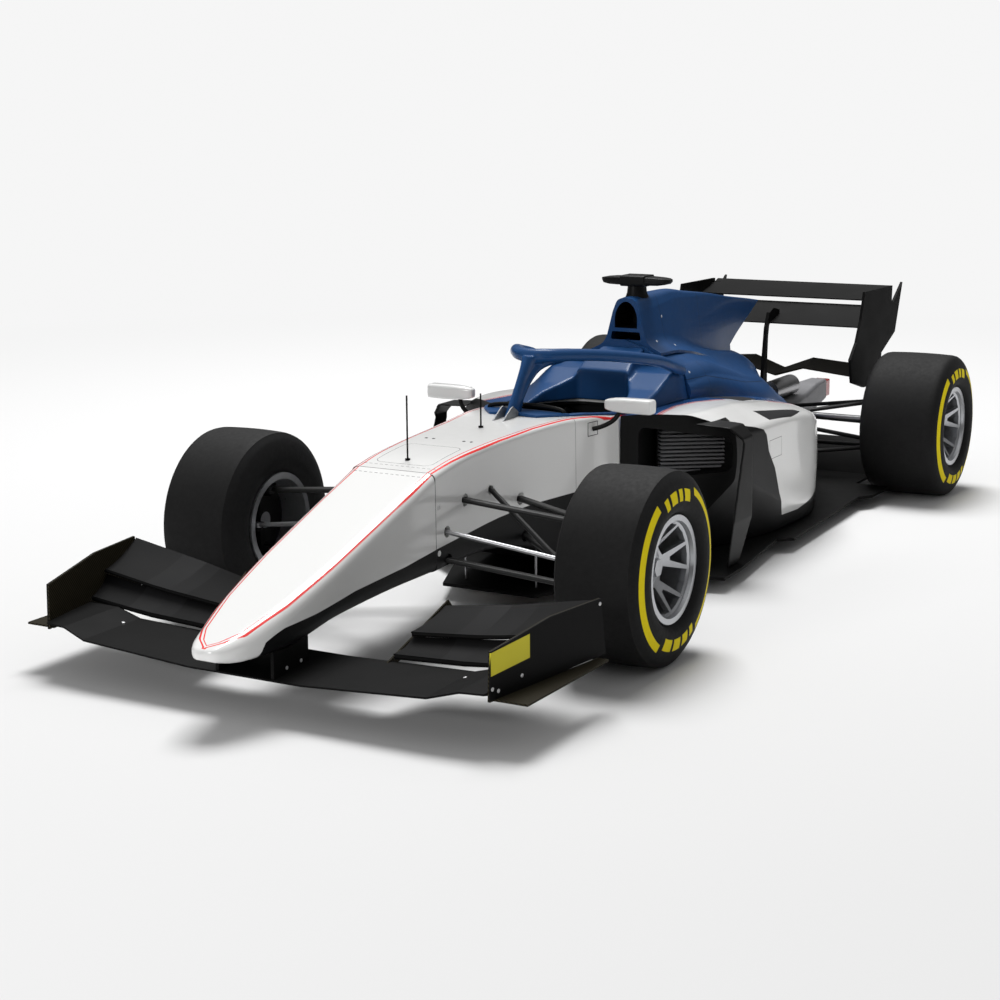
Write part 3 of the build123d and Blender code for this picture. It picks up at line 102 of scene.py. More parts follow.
class Nodes:
    """A node tree with short ways to add nodes and links."""

    def __init__(self, owner):
        owner.use_nodes = True
        self.tree = owner.node_tree
        self.tree.nodes.clear()

    def node(self, kind, **values):
        made = self.tree.nodes.new(kind)
        for key, value in values.items():
            setattr(made, key, value)
        return made

    def link(self, source, target):
        self.tree.links.new(source, target)

    def put(self, value, socket):
        if isinstance(value, bpy.types.NodeSocket):
            self.link(value, socket)
        else:
            socket.default_value = value

    def filled(self, kind, values):
        """A node's first output, with values or links on its inputs by number."""
        made = self.node(kind)
        for index, value in values.items():
            self.put(value, made.inputs[index])
        return made.outputs[0]

    def spread(self, value, low, high, new_low, new_high):
        return self.filled("ShaderNodeMapRange", {0: value, 1: low, 2: high, 3: new_low, 4: new_high})


class Graph(Nodes):
    """A material's node tree. Masks are 0 to 1."""

    SOCKETS = {"color": "Base Color", "rough": "Roughness", "metal": "Metallic", "coat": "Coat Weight",
               "coat_rough": "Coat Roughness", "specular": "Specular IOR Level"}

    def __init__(self, name):
        self.mat = bpy.data.materials.new(name)
        super().__init__(self.mat)
        self.out = self.node("ShaderNodeOutputMaterial")
        self.bsdf = self.node("ShaderNodeBsdfPrincipled")
        self.link(self.bsdf.outputs[0], self.out.inputs[0])
        self.place = self.node("ShaderNodeTexCoord").outputs["Object"]
        split = self.node("ShaderNodeSeparateXYZ")
        self.link(self.place, split.inputs[0])
        self.x, self.y, self.z = split.outputs
        self.ax = self.size(self.x)

    def math(self, operation, a, b=0.0, c=0.0, clamp=False):
        made = self.node("ShaderNodeMath", operation=operation, use_clamp=clamp)
        for value, socket in zip((a, b, c), made.inputs):
            self.put(value, socket)
        return made.outputs[0]

    def add(self, a, b):
        return self.math("ADD", a, b)

    def sub(self, a, b):
        return self.math("SUBTRACT", a, b)

    def mul(self, a, b):
        return self.math("MULTIPLY", a, b)

    both = mul

    def either(self, a, b):
        return self.math("MAXIMUM", a, b)

    def size(self, value):
        return self.math("ABSOLUTE", value)

    def length(self, u, v):
        return self.math("SQRT", self.add(self.mul(u, u), self.mul(v, v)))

    def fraction(self, value, pitch):
        return self.math("FRACT", self.math("DIVIDE", value, pitch))

    def above(self, value, edge, soft=0.0006):
        """1 where value is above edge, with a short soft step."""
        return self.math("MULTIPLY", self.add(self.sub(value, edge), soft / 2), 1 / soft, clamp=True)

    def below(self, value, edge, soft=0.0006):
        return self.sub(1.0, self.above(value, edge, soft))

    def inside(self, value, low, high, soft=0.0006):
        return self.mul(self.above(value, low, soft), self.below(value, high, soft))

    def near(self, value, half, soft=0.0008):
        """1 where value is within half of zero."""
        return self.below(self.size(value), half, soft)

    def ramp(self, value, points):
        """A piecewise linear function of value: points are (value, result)."""
        low, high = points[0][0], points[-1][0]
        results = [result for _, result in points]
        bottom, span = min(results), max(results) - min(results)
        ramp = self.node("ShaderNodeValToRGB")
        ramp.color_ramp.interpolation = "LINEAR"
        stops = ramp.color_ramp.elements
        while len(stops) < len(points):
            stops.new(0.5)
        for stop, (place, _) in zip(stops, points):
            stop.position = (place - low) / (high - low)
        for index, result in enumerate(results):
            share = (result - bottom) / span
            stops[index].color = (share, share, share, 1)
        self.link(self.spread(value, low, high, 0.0, 1.0), ramp.inputs[0])
        return self.math("MULTIPLY_ADD", ramp.outputs[0], span, bottom)

    def mix(self, share, a, b, blend="MIX"):
        made = self.node("ShaderNodeMix", data_type="RGBA", blend_type=blend)
        for value, index in ((share, 0), (a, 6), (b, 7)):
            self.put(value, made.inputs[index])
        return made.outputs[2]

    def noise(self, scale, detail=2.0, rough=0.5):
        return self.filled("ShaderNodeTexNoise", {"Vector": self.place, "Scale": scale, "Detail": detail,
                                                  "Roughness": rough})

    def stretch(self, value, low, high):
        return self.spread(value, 0.0, 1.0, low, high)

    def bump(self, height, strength, distance):
        normal = self.filled("ShaderNodeBump", {"Strength": strength, "Distance": distance, "Height": height})
        self.link(normal, self.bsdf.inputs["Normal"])

    def set(self, **values):
        for key, value in values.items():
            self.put(value, self.bsdf.inputs[self.SOCKETS[key]])


def shade(mesh, angle):
    """Smooth shading, with the edges sharper than angle degrees kept."""
    mesh.polygons.foreach_set("use_smooth", [True] * len(mesh.polygons))
    mesh.set_sharp_from_angle(angle=math.radians(angle))


def link(name, mesh, body="car", material=None, smooth=40):
    """Puts a finished mesh in the scene, riding on a body."""
    made = bpy.data.objects.new(name, mesh)
    bpy.context.scene.collection.objects.link(made)
    mesh.name = name
    mesh.materials.append(material)
    if smooth:
        shade(mesh, smooth)
    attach(made, body)
    return made


def mesh_from(points, faces):
    mesh = bpy.data.meshes.new("mesh")
    mesh.from_pydata([tuple(p) for p in points], [], faces)
    mesh.update()
    return mesh


def weld(mesh):
    shape = bmesh.new()
    shape.from_mesh(mesh)
    bmesh.ops.remove_doubles(shape, verts=shape.verts, dist=1e-5)
    bmesh.ops.dissolve_degenerate(shape, edges=shape.edges, dist=1e-6)
    bmesh.ops.recalc_face_normals(shape, faces=shape.faces)
    shape.to_mesh(mesh)
    shape.free()
    mesh.update()
    return mesh


def smooth_table(rows, places):
    """Each column of a table at new places, by a monotone cubic through the rows."""
    rows = np.array(rows, float)
    s, values = rows[:, 0], rows[:, 1:]
    h = np.diff(s)[:, None]
    slope = np.diff(values, axis=0) / h
    tangent = np.zeros_like(values)
    tangent[0], tangent[-1] = slope[0], slope[-1]
    for i in range(1, len(s) - 1):
        same = slope[i - 1] * slope[i] > 0
        w1, w2 = 2 * h[i, 0] + h[i - 1, 0], h[i, 0] + 2 * h[i - 1, 0]
        with np.errstate(divide="ignore", invalid="ignore"):
            mean = (w1 + w2) / (w1 / slope[i - 1] + w2 / slope[i])
        tangent[i] = np.where(same, mean, 0)
    out = []
    for place in places:
        i = int(np.clip(np.searchsorted(s, place) - 1, 0, len(s) - 2))
        t = (place - s[i]) / h[i, 0]
        a, b, c, d = 2 * t**3 - 3 * t**2 + 1, t**3 - 2 * t**2 + t, 3 * t**2 - 2 * t**3, t**3 - t**2
        out.append(a * values[i] + b * h[i, 0] * tangent[i] + c * values[i + 1] + d * h[i, 0] * tangent[i + 1])
    return np.array(out)


def rounded(points, radii, steps, arc=8, bows=None):
    """A line through points with its inner corners rounded, always the same number of samples."""
    points = [np.array(p, float) for p in points]
    arcs = []
    for a, b, c, radius in zip(points, points[1:], points[2:], radii):
        u, v = a - b, c - b
        lu, lv = np.linalg.norm(u), np.linalg.norm(v)
        u, v = u / lu, v / lv
        angle = math.acos(max(-1, min(1, float(u @ v))))
        reach = min(radius / max(math.tan(angle / 2), 1e-3), 0.48 * lu, 0.48 * lv)
        p, q = b + u * reach, b + v * reach
        pull = b * 0.92 + (p + q) * 0.04
        arcs.append([(1 - t) ** 2 * p + 2 * t * (1 - t) * pull + t * t * q for t in (k / arc for k in range(arc + 1))])
    line = []
    current = points[0]
    for i in range(len(points) - 1):
        goal = arcs[i][0] if i < len(arcs) else points[-1]
        run = goal - current
        normal = np.array([run[1], -run[0]])
        size = np.linalg.norm(normal)
        normal = normal / size if size > 1e-9 else normal
        bow = bows[i] if bows else 0.0
        count = steps if isinstance(steps, int) else steps[i]
        for k in range(count):
            t = k / count
            line.append(current + run * t + normal * bow * 4 * t * (1 - t))
        if i < len(arcs):
            line.extend(arcs[i][:-1])
            current = arcs[i][-1]
    line.append(points[-1])
    return np.array(line)


def sections(table, places, shape):
    """Lines of (x, z) in metres at stations in mm: shape turns a row of the table into what rounded() takes."""
    return [metres(rounded(*shape(*row))) for row in smooth_table(table, places)]


def grid_faces(rows, columns, wrap=False, start=0):
    faces = []
    for i in range(rows - 1):
        for j in range(columns - (0 if wrap else 1)):
            k = (j + 1) % columns
            faces.append((start + i * columns + j, start + i * columns + k,
                          start + (i + 1) * columns + k, start + (i + 1) * columns + j))
    return faces


def half_skin(places, lines):
    """A closed body through open half lines (x, z) at stations in mm, mirrored."""
    points, faces = [], []
    for side in (1, -1):
        start = len(points)
        for place, line in zip(places, lines):
            points.extend((side * x, at(place / 1000), z) for x, z in line)
        made = grid_faces(len(places), len(lines[0]), start=start)
        faces.extend(made if side > 0 else [tuple(reversed(face)) for face in made])
    mesh = weld(mesh_from(points, faces))
    shape = bmesh.new()
    shape.from_mesh(mesh)
    for y in (at(places[0] / 1000), at(places[-1] / 1000)):
        edges = [e for e in shape.edges if e.is_boundary and all(abs(v.co.y - y) < 1e-5 for v in e.verts)]
        if edges:
            bmesh.ops.holes_fill(shape, edges=edges, sides=0)
    bmesh.ops.recalc_face_normals(shape, faces=shape.faces)
    shape.to_mesh(mesh)
    shape.free()
    return mesh


def lofted(rings):
    """A closed body through rings of the same number of points."""
    n = len(rings[0])
    points = [p for ring in rings for p in ring]
    caps = [tuple(reversed(range(n))), tuple(range(len(points) - n, len(points)))]
    return weld(mesh_from(points, grid_faces(len(rings), n, wrap=True) + caps))


def tube(path, radius, sides):
    """A round tube along points; radius may be one per point."""
    path = [Vector(p) for p in path]
    radii = radius if isinstance(radius, list) else [radius] * len(path)
    rings, side = [], None
    for i, (place, wide) in enumerate(zip(path, radii)):
        run = (path[min(i + 1, len(path) - 1)] - path[max(i - 1, 0)]).normalized()
        if side is None:
            side = run.cross(Vector((0, 0, 1)))
            if side.length < 1e-3:
                side = run.cross(Vector((0, 1, 0)))
        else:
            side = side - run * side.dot(run)
        side.normalize()
        other = run.cross(side)
        rings.append([place + (side * math.cos(t) + other * math.sin(t)) * wide for t in turns(sides)])
    return lofted(rings)


def spline(points, count):
    """Even samples on a Catmull-Rom curve through points."""
    inner = [np.array(p, float) for p in points]
    pts = [2 * inner[0] - inner[1]] + inner + [2 * inner[-1] - inner[-2]]
    out = []
    for p0, p1, p2, p3 in zip(pts, pts[1:], pts[2:], pts[3:]):
        for t in (k / count for k in range(count)):
            out.append(0.5 * (2 * p1 + (p2 - p0) * t + (2 * p0 - 5 * p1 + 4 * p2 - p3) * t**2
                              + (3 * p1 - p0 - 3 * p2 + p3) * t**3))
    return [Vector(p) for p in out + [inner[-1]]]


def joined(meshes):
    """One mesh from several."""
    points, faces = [], []
    for mesh in meshes:
        start = len(points)
        points.extend(tuple(v.co) for v in mesh.vertices)
        faces.extend(tuple(start + i for i in f.vertices) for f in mesh.polygons)
        bpy.data.meshes.remove(mesh)
    return mesh_from(points, faces)


def baked(piece):
    """Applies a piece's modifiers."""
    made = bpy.data.meshes.new_from_object(piece.evaluated_get(bpy.context.evaluated_depsgraph_get()))
    piece.modifiers.clear()
    piece.data = made
    made.name = piece.name
    return made


def cut(target, cutter_mesh):
    """Takes a throwaway cutter away from a piece."""
    tool = bpy.data.objects.new("cutter", cutter_mesh)
    bpy.context.scene.collection.objects.link(tool)
    modifier = target.modifiers.new("cut", "BOOLEAN")
    modifier.operation = "DIFFERENCE"
    modifier.solver = "EXACT"
    modifier.object = tool
    baked(target)
    bpy.data.objects.remove(tool)
    bpy.data.meshes.remove(cutter_mesh)


def melt(piece, voxel, rounds):
    """Rebuilds a piece as one smooth closed skin."""
    grid = piece.modifiers.new("grid", "REMESH")
    grid.mode = "VOXEL"
    grid.voxel_size = voxel
    soft = piece.modifiers.new("soft", "SMOOTH")
    soft.factor = 0.5
    soft.iterations = rounds
    made = baked(piece)
    made.polygons.foreach_set("use_smooth", [True] * len(made.polygons))


def prism(outline, axis, low, high):
    """A closed prism: the outline's two coordinates are the other two axes in order."""
    return lofted([[{"X": (level, a, b), "Y": (a, level, b), "Z": (a, b, level)}[axis] for a, b in outline]
                         for level in (low, high)])


def spaced(first, last, step):
    count = max(1, int(round((last - first) / step)))
    return [first + (last - first) * i / count for i in range(count + 1)]


def node_mesh(name):
    node = frame["nodes"][name]
    mesh = node.data.copy()
    mesh.transform(node.matrix_world)
    mesh.materials.clear()
    return mesh


# Colours and weaves
def rgb(r, g, b):
    return (r, g, b, 1.0)


WHITE = rgb(0.80, 0.80, 0.79)
RED = rgb(0.78, 0.015, 0.012)
BLUE = rgb(0.018, 0.085, 0.26)
BLUE_GAP = rgb(0.004, 0.008, 0.016)
BARE_DARK, BARE_LIGHT = rgb(0.0022, 0.0022, 0.0023), rgb(0.0055, 0.0055, 0.0058)
TOW_PITCH = 0.0075


def twill(g, pitch=TOW_PITCH):
    """Diagonal tows on any face: the place along the car, across it and up, folded into one ramp."""
    along = g.add(g.y, g.add(g.mul(g.ax, 0.7), g.mul(g.z, 0.8)))
    return g.size(g.sub(g.fraction(along, pitch), 0.5))


def woven(g, tow, dark, light, soft=0.14):
    return g.mix(g.above(tow, 0.25, soft), dark, light)


def olive_color(g):
    return woven(g, twill(g, 0.011), rgb(0.0062, 0.0053, 0.0030), rgb(0.034, 0.029, 0.017))


def polygon(g, u, v, corners):
    """1 inside a convex polygon of (u, v) corners, counter clockwise."""
    mask = None
    for (u0, v0), (u1, v1) in zip(corners, corners[1:] + corners[:1]):
        length = math.hypot(u1 - u0, v1 - v0)
        nu, nv = -(v1 - v0) / length, (u1 - u0) / length
        edge = g.above(g.add(g.mul(u, nu), g.math("MULTIPLY_ADD", v, nv, -(u0 * nu + v0 * nv))), 0.0, 0.0012)
        mask = edge if mask is None else g.both(mask, edge)
    return mask


def lines_of(g, value, places, half):
    """Thin lines where value crosses each place."""
    mask = None
    for place in places:
        line = g.near(g.sub(value, place), half, half)
        mask = line if mask is None else g.either(mask, line)
    return mask


def paint_color(g, color, spread):
    """A paint's colour with a very slight cloudiness."""
    return g.mix(1.0, color, g.stretch(g.noise(3.0, 3.0), 1 - spread, 1 + spread), "MULTIPLY")


def gloss_paint(name, color):
    g = Graph(name)
    g.set(color=paint_color(g, color, 0.03), rough=g.stretch(g.noise(40, 3), 0.20, 0.30), coat=0.6, coat_rough=0.04)
    g.bump(g.noise(220, 2), 0.03, 0.0004)
    return g.mat


def white_coat(g):
    return g.mix(g.stretch(g.noise(2.2, 3.0), 0.985, 1.0), rgb(0.76, 0.76, 0.755), WHITE)


def finish_paint(g, color, bare):
    """Lacquered paint, with rough bare weave where the mask is 1."""
    painted = g.sub(1.0, bare)
    rough = g.add(g.mul(g.stretch(g.noise(34, 3), 0.16, 0.26), painted), g.mul(bare, 0.42))
    g.set(color=color, rough=rough, coat=g.mul(0.5, painted), coat_rough=0.05,
          specular=g.sub(0.5, g.mul(bare, 0.38)))


# Along the nose and the tub: the half width of the outer red stripe, the foot of its white top and the edge
# of the bare band below. Then the half width and the top of the tub's outside, a wall's thickness in.
STRIPE = stations([(-1290, 0), (-1272, 6), (-1240, 44), (-1182, 78), (-1013, 117), (-780, 139), (-450, 150),
                   (-215, 150), (-15, 157), (200, 166), (421, 180), (560, 200), (650, 214), (770, 236), (900, 262)])
TOP_LINE = stations([(-1290, 240), (-1262, 255), (-1182, 285), (-1013, 343), (-780, 424), (-450, 538), (-233, 608),
                     (-90, 632), (60, 646), (200, 654), (510, 664), (770, 655), (1100, 620)])
BAND_LINE = stations([(-1140, 214), (-1134, 236), (-1122, 258), (-1085, 274), (-1046, 286), (-904, 298),
                      (-706, 326), (-415, 343), (-225, 363), (0, 378), (180, 393), (400, 402), (700, 402), (1100, 402)])
TUB_HALF = stations([(-233, 150), (200, 158), (400, 173), (510, 187), (600, 200), (770, 229), (975, 256),
                     (1100, 284), (1490, 284)])
TUB_TOP = stations([(-233, 604), (-90, 629), (60, 643), (200, 651), (400, 659), (600, 665), (770, 657),
                    (975, 633), (1490, 615)])
SCREW_ROWS = (-0.262, -0.196)
HATCH_MIDDLE, HATCH_HALF, HATCH_DEPTH, HATCH_CORNER = at(-0.065), 0.082, 0.080, 0.030


def nose_paint(name, seams, hollow=False):
    """White with red stripes on top and a bare band below; a hollow body is bare inside."""
    g = Graph(name)
    top = g.above(g.z, g.ramp(g.y, TOP_LINE), 0.004)
    off = g.sub(g.ax, g.ramp(g.y, STRIPE))
    stripes = g.either(g.near(off, 0.0038), g.near(g.add(off, 0.0145), 0.0024))
    red = g.both(g.both(stripes, top), g.above(g.y, at(-1.281), 0.001))
    band = g.both(g.below(g.z, g.ramp(g.y, BAND_LINE), 0.0012), g.above(g.y, at(-1.139), 0.0012))
    tow = twill(g, 0.0065)
    black = woven(g, tow, rgb(0.0035, 0.0035, 0.0038), rgb(0.0090, 0.0090, 0.0096), 0.1)
    color = g.mix(band, g.mix(red, white_coat(g), RED), black)
    # The dashed rows of screws beside the seam and the rounded hatch before the cockpit
    dash = g.above(g.fraction(g.x, 0.021), 0.42, 0.05)
    rows = g.both(g.both(lines_of(g, g.y, [at(s) for s in SCREW_ROWS], 0.0011), dash),
                  g.both(top, g.below(g.ax, 0.150, 0.001)))
    du = g.either(g.sub(g.ax, HATCH_HALF), 0.0)
    dv = g.either(g.sub(g.size(g.sub(g.y, HATCH_MIDDLE)), HATCH_DEPTH), 0.0)
    hatch = g.both(g.near(g.sub(g.length(du, dv), HATCH_CORNER), 0.0009, 0.0006), top)
    marks = g.either(g.either(lines_of(g, g.y, [at(s) for s in seams], 0.0009), rows), hatch)
    color = g.mix(marks, color, rgb(0.03, 0.03, 0.033))
    if hollow:
        within = g.both(g.below(g.ax, g.ramp(g.y, TUB_HALF), 0.002), g.below(g.z, g.ramp(g.y, TUB_TOP), 0.002))
        band = g.either(band, g.both(within, g.above(g.y, at(-0.19), 0.002)))
        color = g.mix(band, color, black)
    finish_paint(g, color, band)
    g.bump(g.add(g.mul(marks, -1.0), g.mul(g.both(band, tow), 0.25)), 0.3, 0.0006)
    return g.mat


# On the sidepods: the blue's edge, and the bare panel's edges in front and below
BOUND = stations([(850, 316), (900, 330), (1017, 384), (1150, 362), (1288, 347), (1436, 360), (1511, 385),
                  (1700, 410), (1886, 441), (2010, 465), (2120, 492), (2220, 500), (2400, 450), (2700, 330),
                  (2900, 262)])
PANEL_FRONT = [(z, at(s)) for z, s in (
    (0.100, 1.830), (0.131, 1.814), (0.241, 1.732), (0.356, 1.670), (0.435, 1.602), (0.507, 1.580), (0.532, 1.552),
    (0.552, 1.480), (0.572, 1.380), (0.590, 1.250), (0.600, 0.800))]
PANEL_LOW = stations([(1500, 131), (1814, 131), (1978, 125), (2196, 156), (2400, 176), (2900, 190)])
FRONT_LOUVRE = [(x, at(s)) for x, s in ((0.325, 1.650), (0.455, 1.722), (0.428, 1.950), (0.345, 1.955), (0.300, 1.800))]
REAR_LOUVRE = [(x, at(s)) for x, s in ((0.545, 1.615), (0.604, 1.650), (0.624, 2.075), (0.578, 1.985))]


def pod_paint(name):
    """White, with a blue upper side between red lines, a bare panel, two louvres whose slats are flat stripes of
    painted light with painted shade in the gaps between them, and a hatch's outline.
    """
    g = Graph(name)
    off = g.sub(g.ramp(g.y, BOUND), g.ax)
    high = g.above(g.z, 0.25, 0.01)
    blue = g.both(g.above(off, 0.0, 0.001), high)
    lines = g.either(g.near(g.add(off, 0.006), 0.0035), g.near(g.add(off, 0.0165), 0.0018))
    lines = g.both(g.both(lines, high), g.sub(1.0, g.inside(g.y, at(1.630), at(1.960), 0.01)))
    panel = g.either(g.below(g.y, g.ramp(g.z, PANEL_FRONT), 0.0012), g.below(g.z, g.ramp(g.y, PANEL_LOW), 0.0012))
    dark = g.both(panel, g.below(g.z, 0.600, 0.001))
    rear = g.both(polygon(g, g.ax, g.y, REAR_LOUVRE), g.above(g.z, 0.536, 0.001))
    louvre = g.both(g.either(polygon(g, g.ax, g.y, FRONT_LOUVRE), rear), g.above(g.z, 0.45, 0.01))
    box = g.either(g.size(g.sub(g.y, at(1.675))), g.add(g.size(g.sub(g.z, 0.438)), 0.026))
    hatch = g.both(g.near(g.sub(box, 0.064), 0.0009, 0.0006), g.above(g.ax, 0.55, 0.01))
    tow = twill(g)
    black = woven(g, tow, rgb(0.0035, 0.0035, 0.0038), rgb(0.0085, 0.0085, 0.009), 0.1)
    # The louvres' slats are flat stripes: the lighter ones are painted light on the slats, the dark ones painted shade
    # in the gaps between them.
    lit_slats_shaded_gaps = g.mix(g.above(g.fraction(g.y, 0.016), 0.5, 0.1), rgb(0.006, 0.006, 0.007), rgb(0.035, 0.035, 0.037))
    color = white_coat(g)
    for mask, over in ((blue, BLUE), (lines, RED), (dark, black), (louvre, lit_slats_shaded_gaps), (hatch, rgb(0.04, 0.04, 0.045))):
        color = g.mix(mask, color, over)
    finish_paint(g, color, g.either(dark, louvre))
    g.bump(g.add(g.mul(g.both(dark, tow), 0.25), g.mul(hatch, -1.0)), 0.3, 0.0006)
    return g.mat


def blue_coat(name, seams=(), joint=None):
    """Metallic blue under lacquer, with thin panel gaps across at the seams and along the joint's height."""
    g = Graph(name)
    color = g.mix(g.noise(2600, 1.0), rgb(0.006, 0.034, 0.110), rgb(0.017, 0.082, 0.235))
    height = g.mul(g.noise(3.0, 2.0), 0.05)
    gaps = [lines_of(g, g.y, [at(s) for s in seams], 0.0010)] if seams else []
    if joint:
        gaps.append(g.near(g.sub(g.z, g.ramp(g.y, joint)), 0.0010))
    for mask in gaps:
        color = g.mix(mask, color, BLUE_GAP)
        height = g.sub(height, mask)
    g.set(color=color, rough=g.stretch(g.noise(30, 3), 0.30, 0.40), coat=0.14, coat_rough=0.09, specular=0.14)
    g.bump(height, 0.25, 0.0006)
    return g.mat


def carbon_skin(name, dark=0.0022, light=0.0055, rough=(0.56, 0.70), pitch=TOW_PITCH, tint=(1, 1, 1), coat=0.0,
                shine=0.08):
    """Bare woven carbon, satin."""
    g = Graph(name)
    tow = twill(g, pitch)
    worn = g.noise(7, 4)
    low, high = (rgb(*(level * t for t in tint)) for level in (dark, light))
    color = g.mix(g.both(g.above(tow, 0.25, 0.14), g.stretch(worn, 0.55, 1.0)), low, high)
    g.set(color=color, rough=g.stretch(worn, *rough), coat=coat, specular=shine)
    g.bump(tow, 0.12, 0.0005)
    return g.mat


def metal(name, color, rough, metallic, depth=0.05):
    g = Graph(name)
    dark = rgb(*(c * 0.8 for c in color))
    g.set(color=g.mix(g.noise(60, 4), dark, rgb(*color)), rough=g.stretch(g.noise(120, 3), *rough), metal=metallic)
    g.bump(g.noise(300, 3), depth, 0.0004)
    return g.mat


def plain(name, color, rough, metallic=0.0, coat=0.0, grain=80.0, depth=0.05):
    g = Graph(name)
    g.set(color=paint_color(g, color, 0.08), rough=g.stretch(g.noise(grain, 4), *rough), metal=metallic, coat=coat)
    g.bump(g.noise(grain * 4, 3), depth, 0.0006)
    return g.mat


# On the tyres' outer walls, in metres and degrees: two long arcs, and plain blocks where the real tyre has words
ARCS = ((-56, 62), (122, 183), (-183, -122))
ARC_RADII, BLOCK_RADII = (0.2580, 0.2850), (0.228, 0.268)
BLOCKS = ((70, 80), (84, 90), (94, 104), (108, 114), (-116, -102), (-98, -86), (-82, -72), (-68, -62))
MOULD_RINGS = (0.197, 0.212, 0.284, 0.300)


def tyre_coat(name, centre, side, half):
    """Rubber with yellow marks round its outer wall."""
    g = Graph(name)
    dy, dz = g.sub(g.y, centre[1]), g.sub(g.z, centre[2])
    radius = g.length(dy, dz)
    degrees = g.mul(g.math("ARCTAN2", dz, dy), 180 / math.pi * side)
    outside = g.above(g.mul(g.x, side), centre[0] * side + half * 0.55, 0.002)
    paint = 0.0
    for low, high, radii in [(*row, ARC_RADII) for row in ARCS] + [(*row, BLOCK_RADII) for row in BLOCKS]:
        paint = g.either(paint, g.both(g.inside(degrees, low, high, 0.4), g.inside(radius, *radii, 0.0012)))
    paint = g.both(paint, outside)
    base = g.mix(g.noise(60, 3), rgb(0.0035, 0.0035, 0.0038), rgb(0.0075, 0.0075, 0.0079))
    dust = g.both(g.above(radius, 0.318, 0.01), g.stretch(g.noise(14, 5), 0.0, 0.55))
    base = g.mix(dust, base, rgb(0.0125, 0.0122, 0.0118))
    yellow = g.mix(g.noise(120, 3), rgb(0.76, 0.60, 0.0), rgb(0.86, 0.71, 0.004))
    g.set(color=g.mix(paint, base, yellow), rough=g.stretch(g.noise(70, 3), 0.62, 0.82), specular=0.2)
    rings = lines_of(g, radius, MOULD_RINGS, 0.0007)
    raised = g.add(g.mul(rings, 0.8), g.mul(paint, 0.5))
    g.bump(g.add(g.mul(g.noise(900, 4, 0.6), 0.3), raised), 0.35, 0.0006)
    return g.mat


# On the front wing: the yellow panel and the drilled patch of the left plate, and the outer faces of plate and fence
YELLOW_PANEL = [(at(-1.032), 0.231), (at(-0.852), 0.245), (at(-0.852), 0.317), (at(-1.032), 0.300)]
DRILLED_PATCH = [(at(-0.683), 0.327), (at(-0.600), 0.337), (at(-0.567), 0.265), (at(-0.650), 0.266)]
PLATE_FACE = stations([(-1040, 824.5), (-478, 912.5)])
FENCE_FACE = stations([(-836, 352), (-540, 398), (-478, 407.6)])
FOOT_TOP = 0.1592
DRILL_PITCH = 0.0215


def plate_coat(name):
    """Bare carbon outside with a plain yellow panel and a drilled patch whose holes are near-black painted shade, olive
    weave inside and on the foot.
    """
    g = Graph(name)
    tow = twill(g)
    outside = g.above(g.sub(g.ax, g.ramp(g.y, PLATE_FACE)), 0.0, 0.0006)
    olive = g.either(g.sub(1.0, outside), g.below(g.z, FOOT_TOP, 0.0004))
    color = g.mix(olive, woven(g, tow, BARE_DARK, BARE_LIGHT), olive_color(g))
    left = g.both(outside, g.above(g.x, 0.0, 0.01))
    yellow = g.both(left, polygon(g, g.y, g.z, YELLOW_PANEL))
    patch = g.both(left, polygon(g, g.y, g.z, DRILLED_PATCH))
    u, v = (g.sub(g.fraction(value, DRILL_PITCH), 0.5) for value in (g.y, g.z))
    # The drilled holes are near-black dots in the patch: painted shade in the holes, also pressed in by the bump.
    shaded_holes = g.below(g.length(u, v), 0.27, 0.06)
    color = g.mix(yellow, color, rgb(0.62, 0.55, 0.02))
    color = g.mix(patch, color, g.mix(shaded_holes, rgb(0.060, 0.064, 0.004), rgb(0.002, 0.002, 0.002)))
    g.set(color=color, rough=0.6, specular=g.add(0.08, g.mul(yellow, 0.25)))
    g.bump(g.sub(g.mul(tow, 0.3), g.both(patch, shaded_holes)), 0.2, 0.0006)
    return g.mat


def flap_coat(name):
    """Bare carbon with lighter bays, and the fences in olive weave."""
    g = Graph(name)
    tow = twill(g)
    bay = g.inside(g.ax, 0.520, 0.700, 0.002)
    color = g.mix(g.mul(bay, 0.5), woven(g, tow, BARE_DARK, BARE_LIGHT), rgb(0.012, 0.012, 0.0125))
    fence = g.near(g.sub(g.ax, g.sub(g.ramp(g.y, FENCE_FACE), 0.003)), 0.0042, 0.0004)
    g.set(color=g.mix(fence, color, olive_color(g)), rough=0.62, specular=0.08)
    g.bump(tow, 0.1, 0.0005)
    return g.mat


MATERIALS = {
    "white_paint": gloss_paint("white_paint", WHITE),
    "blue_paint": blue_coat("blue_paint"),
    "carbon": carbon_skin("carbon"),
    "carbon_gloss": carbon_skin("carbon_gloss", rough=(0.2, 0.3), coat=0.4),
    "tyre_rubber": plain("tyre_rubber", rgb(0.014, 0.014, 0.015), (0.55, 0.75), grain=60, depth=0.15),
    "light_red": plain("light_red", rgb(0.32, 0.006, 0.006), (0.12, 0.22), coat=0.5),
    "plank_wood": plain("plank_wood", rgb(0.12, 0.08, 0.05), (0.6, 0.75)),
}
for slot, *look in (("rim_alloy", (0.50, 0.51, 0.53), (0.24, 0.36), 0.85),
                    ("bracket_alloy", (0.24, 0.25, 0.26), (0.4, 0.52), 0.5),
                    ("casting", (0.22, 0.22, 0.23), (0.5, 0.7), 0.5, 0.3),
                    ("steel", (0.36, 0.36, 0.37), (0.25, 0.4), 0.85),
                    ("core_alloy", (0.055, 0.055, 0.06), (0.4, 0.55), 0.5)):
    MATERIALS[slot] = metal(slot, *look)
ARM = carbon_skin("arm_weave", 0.005, 0.022, (0.42, 0.54), 0.006, shine=0.25)
OLIVE = carbon_skin("olive_weave", 0.007, 0.040, (0.5, 0.62), 0.011, (1.0, 0.86, 0.5))
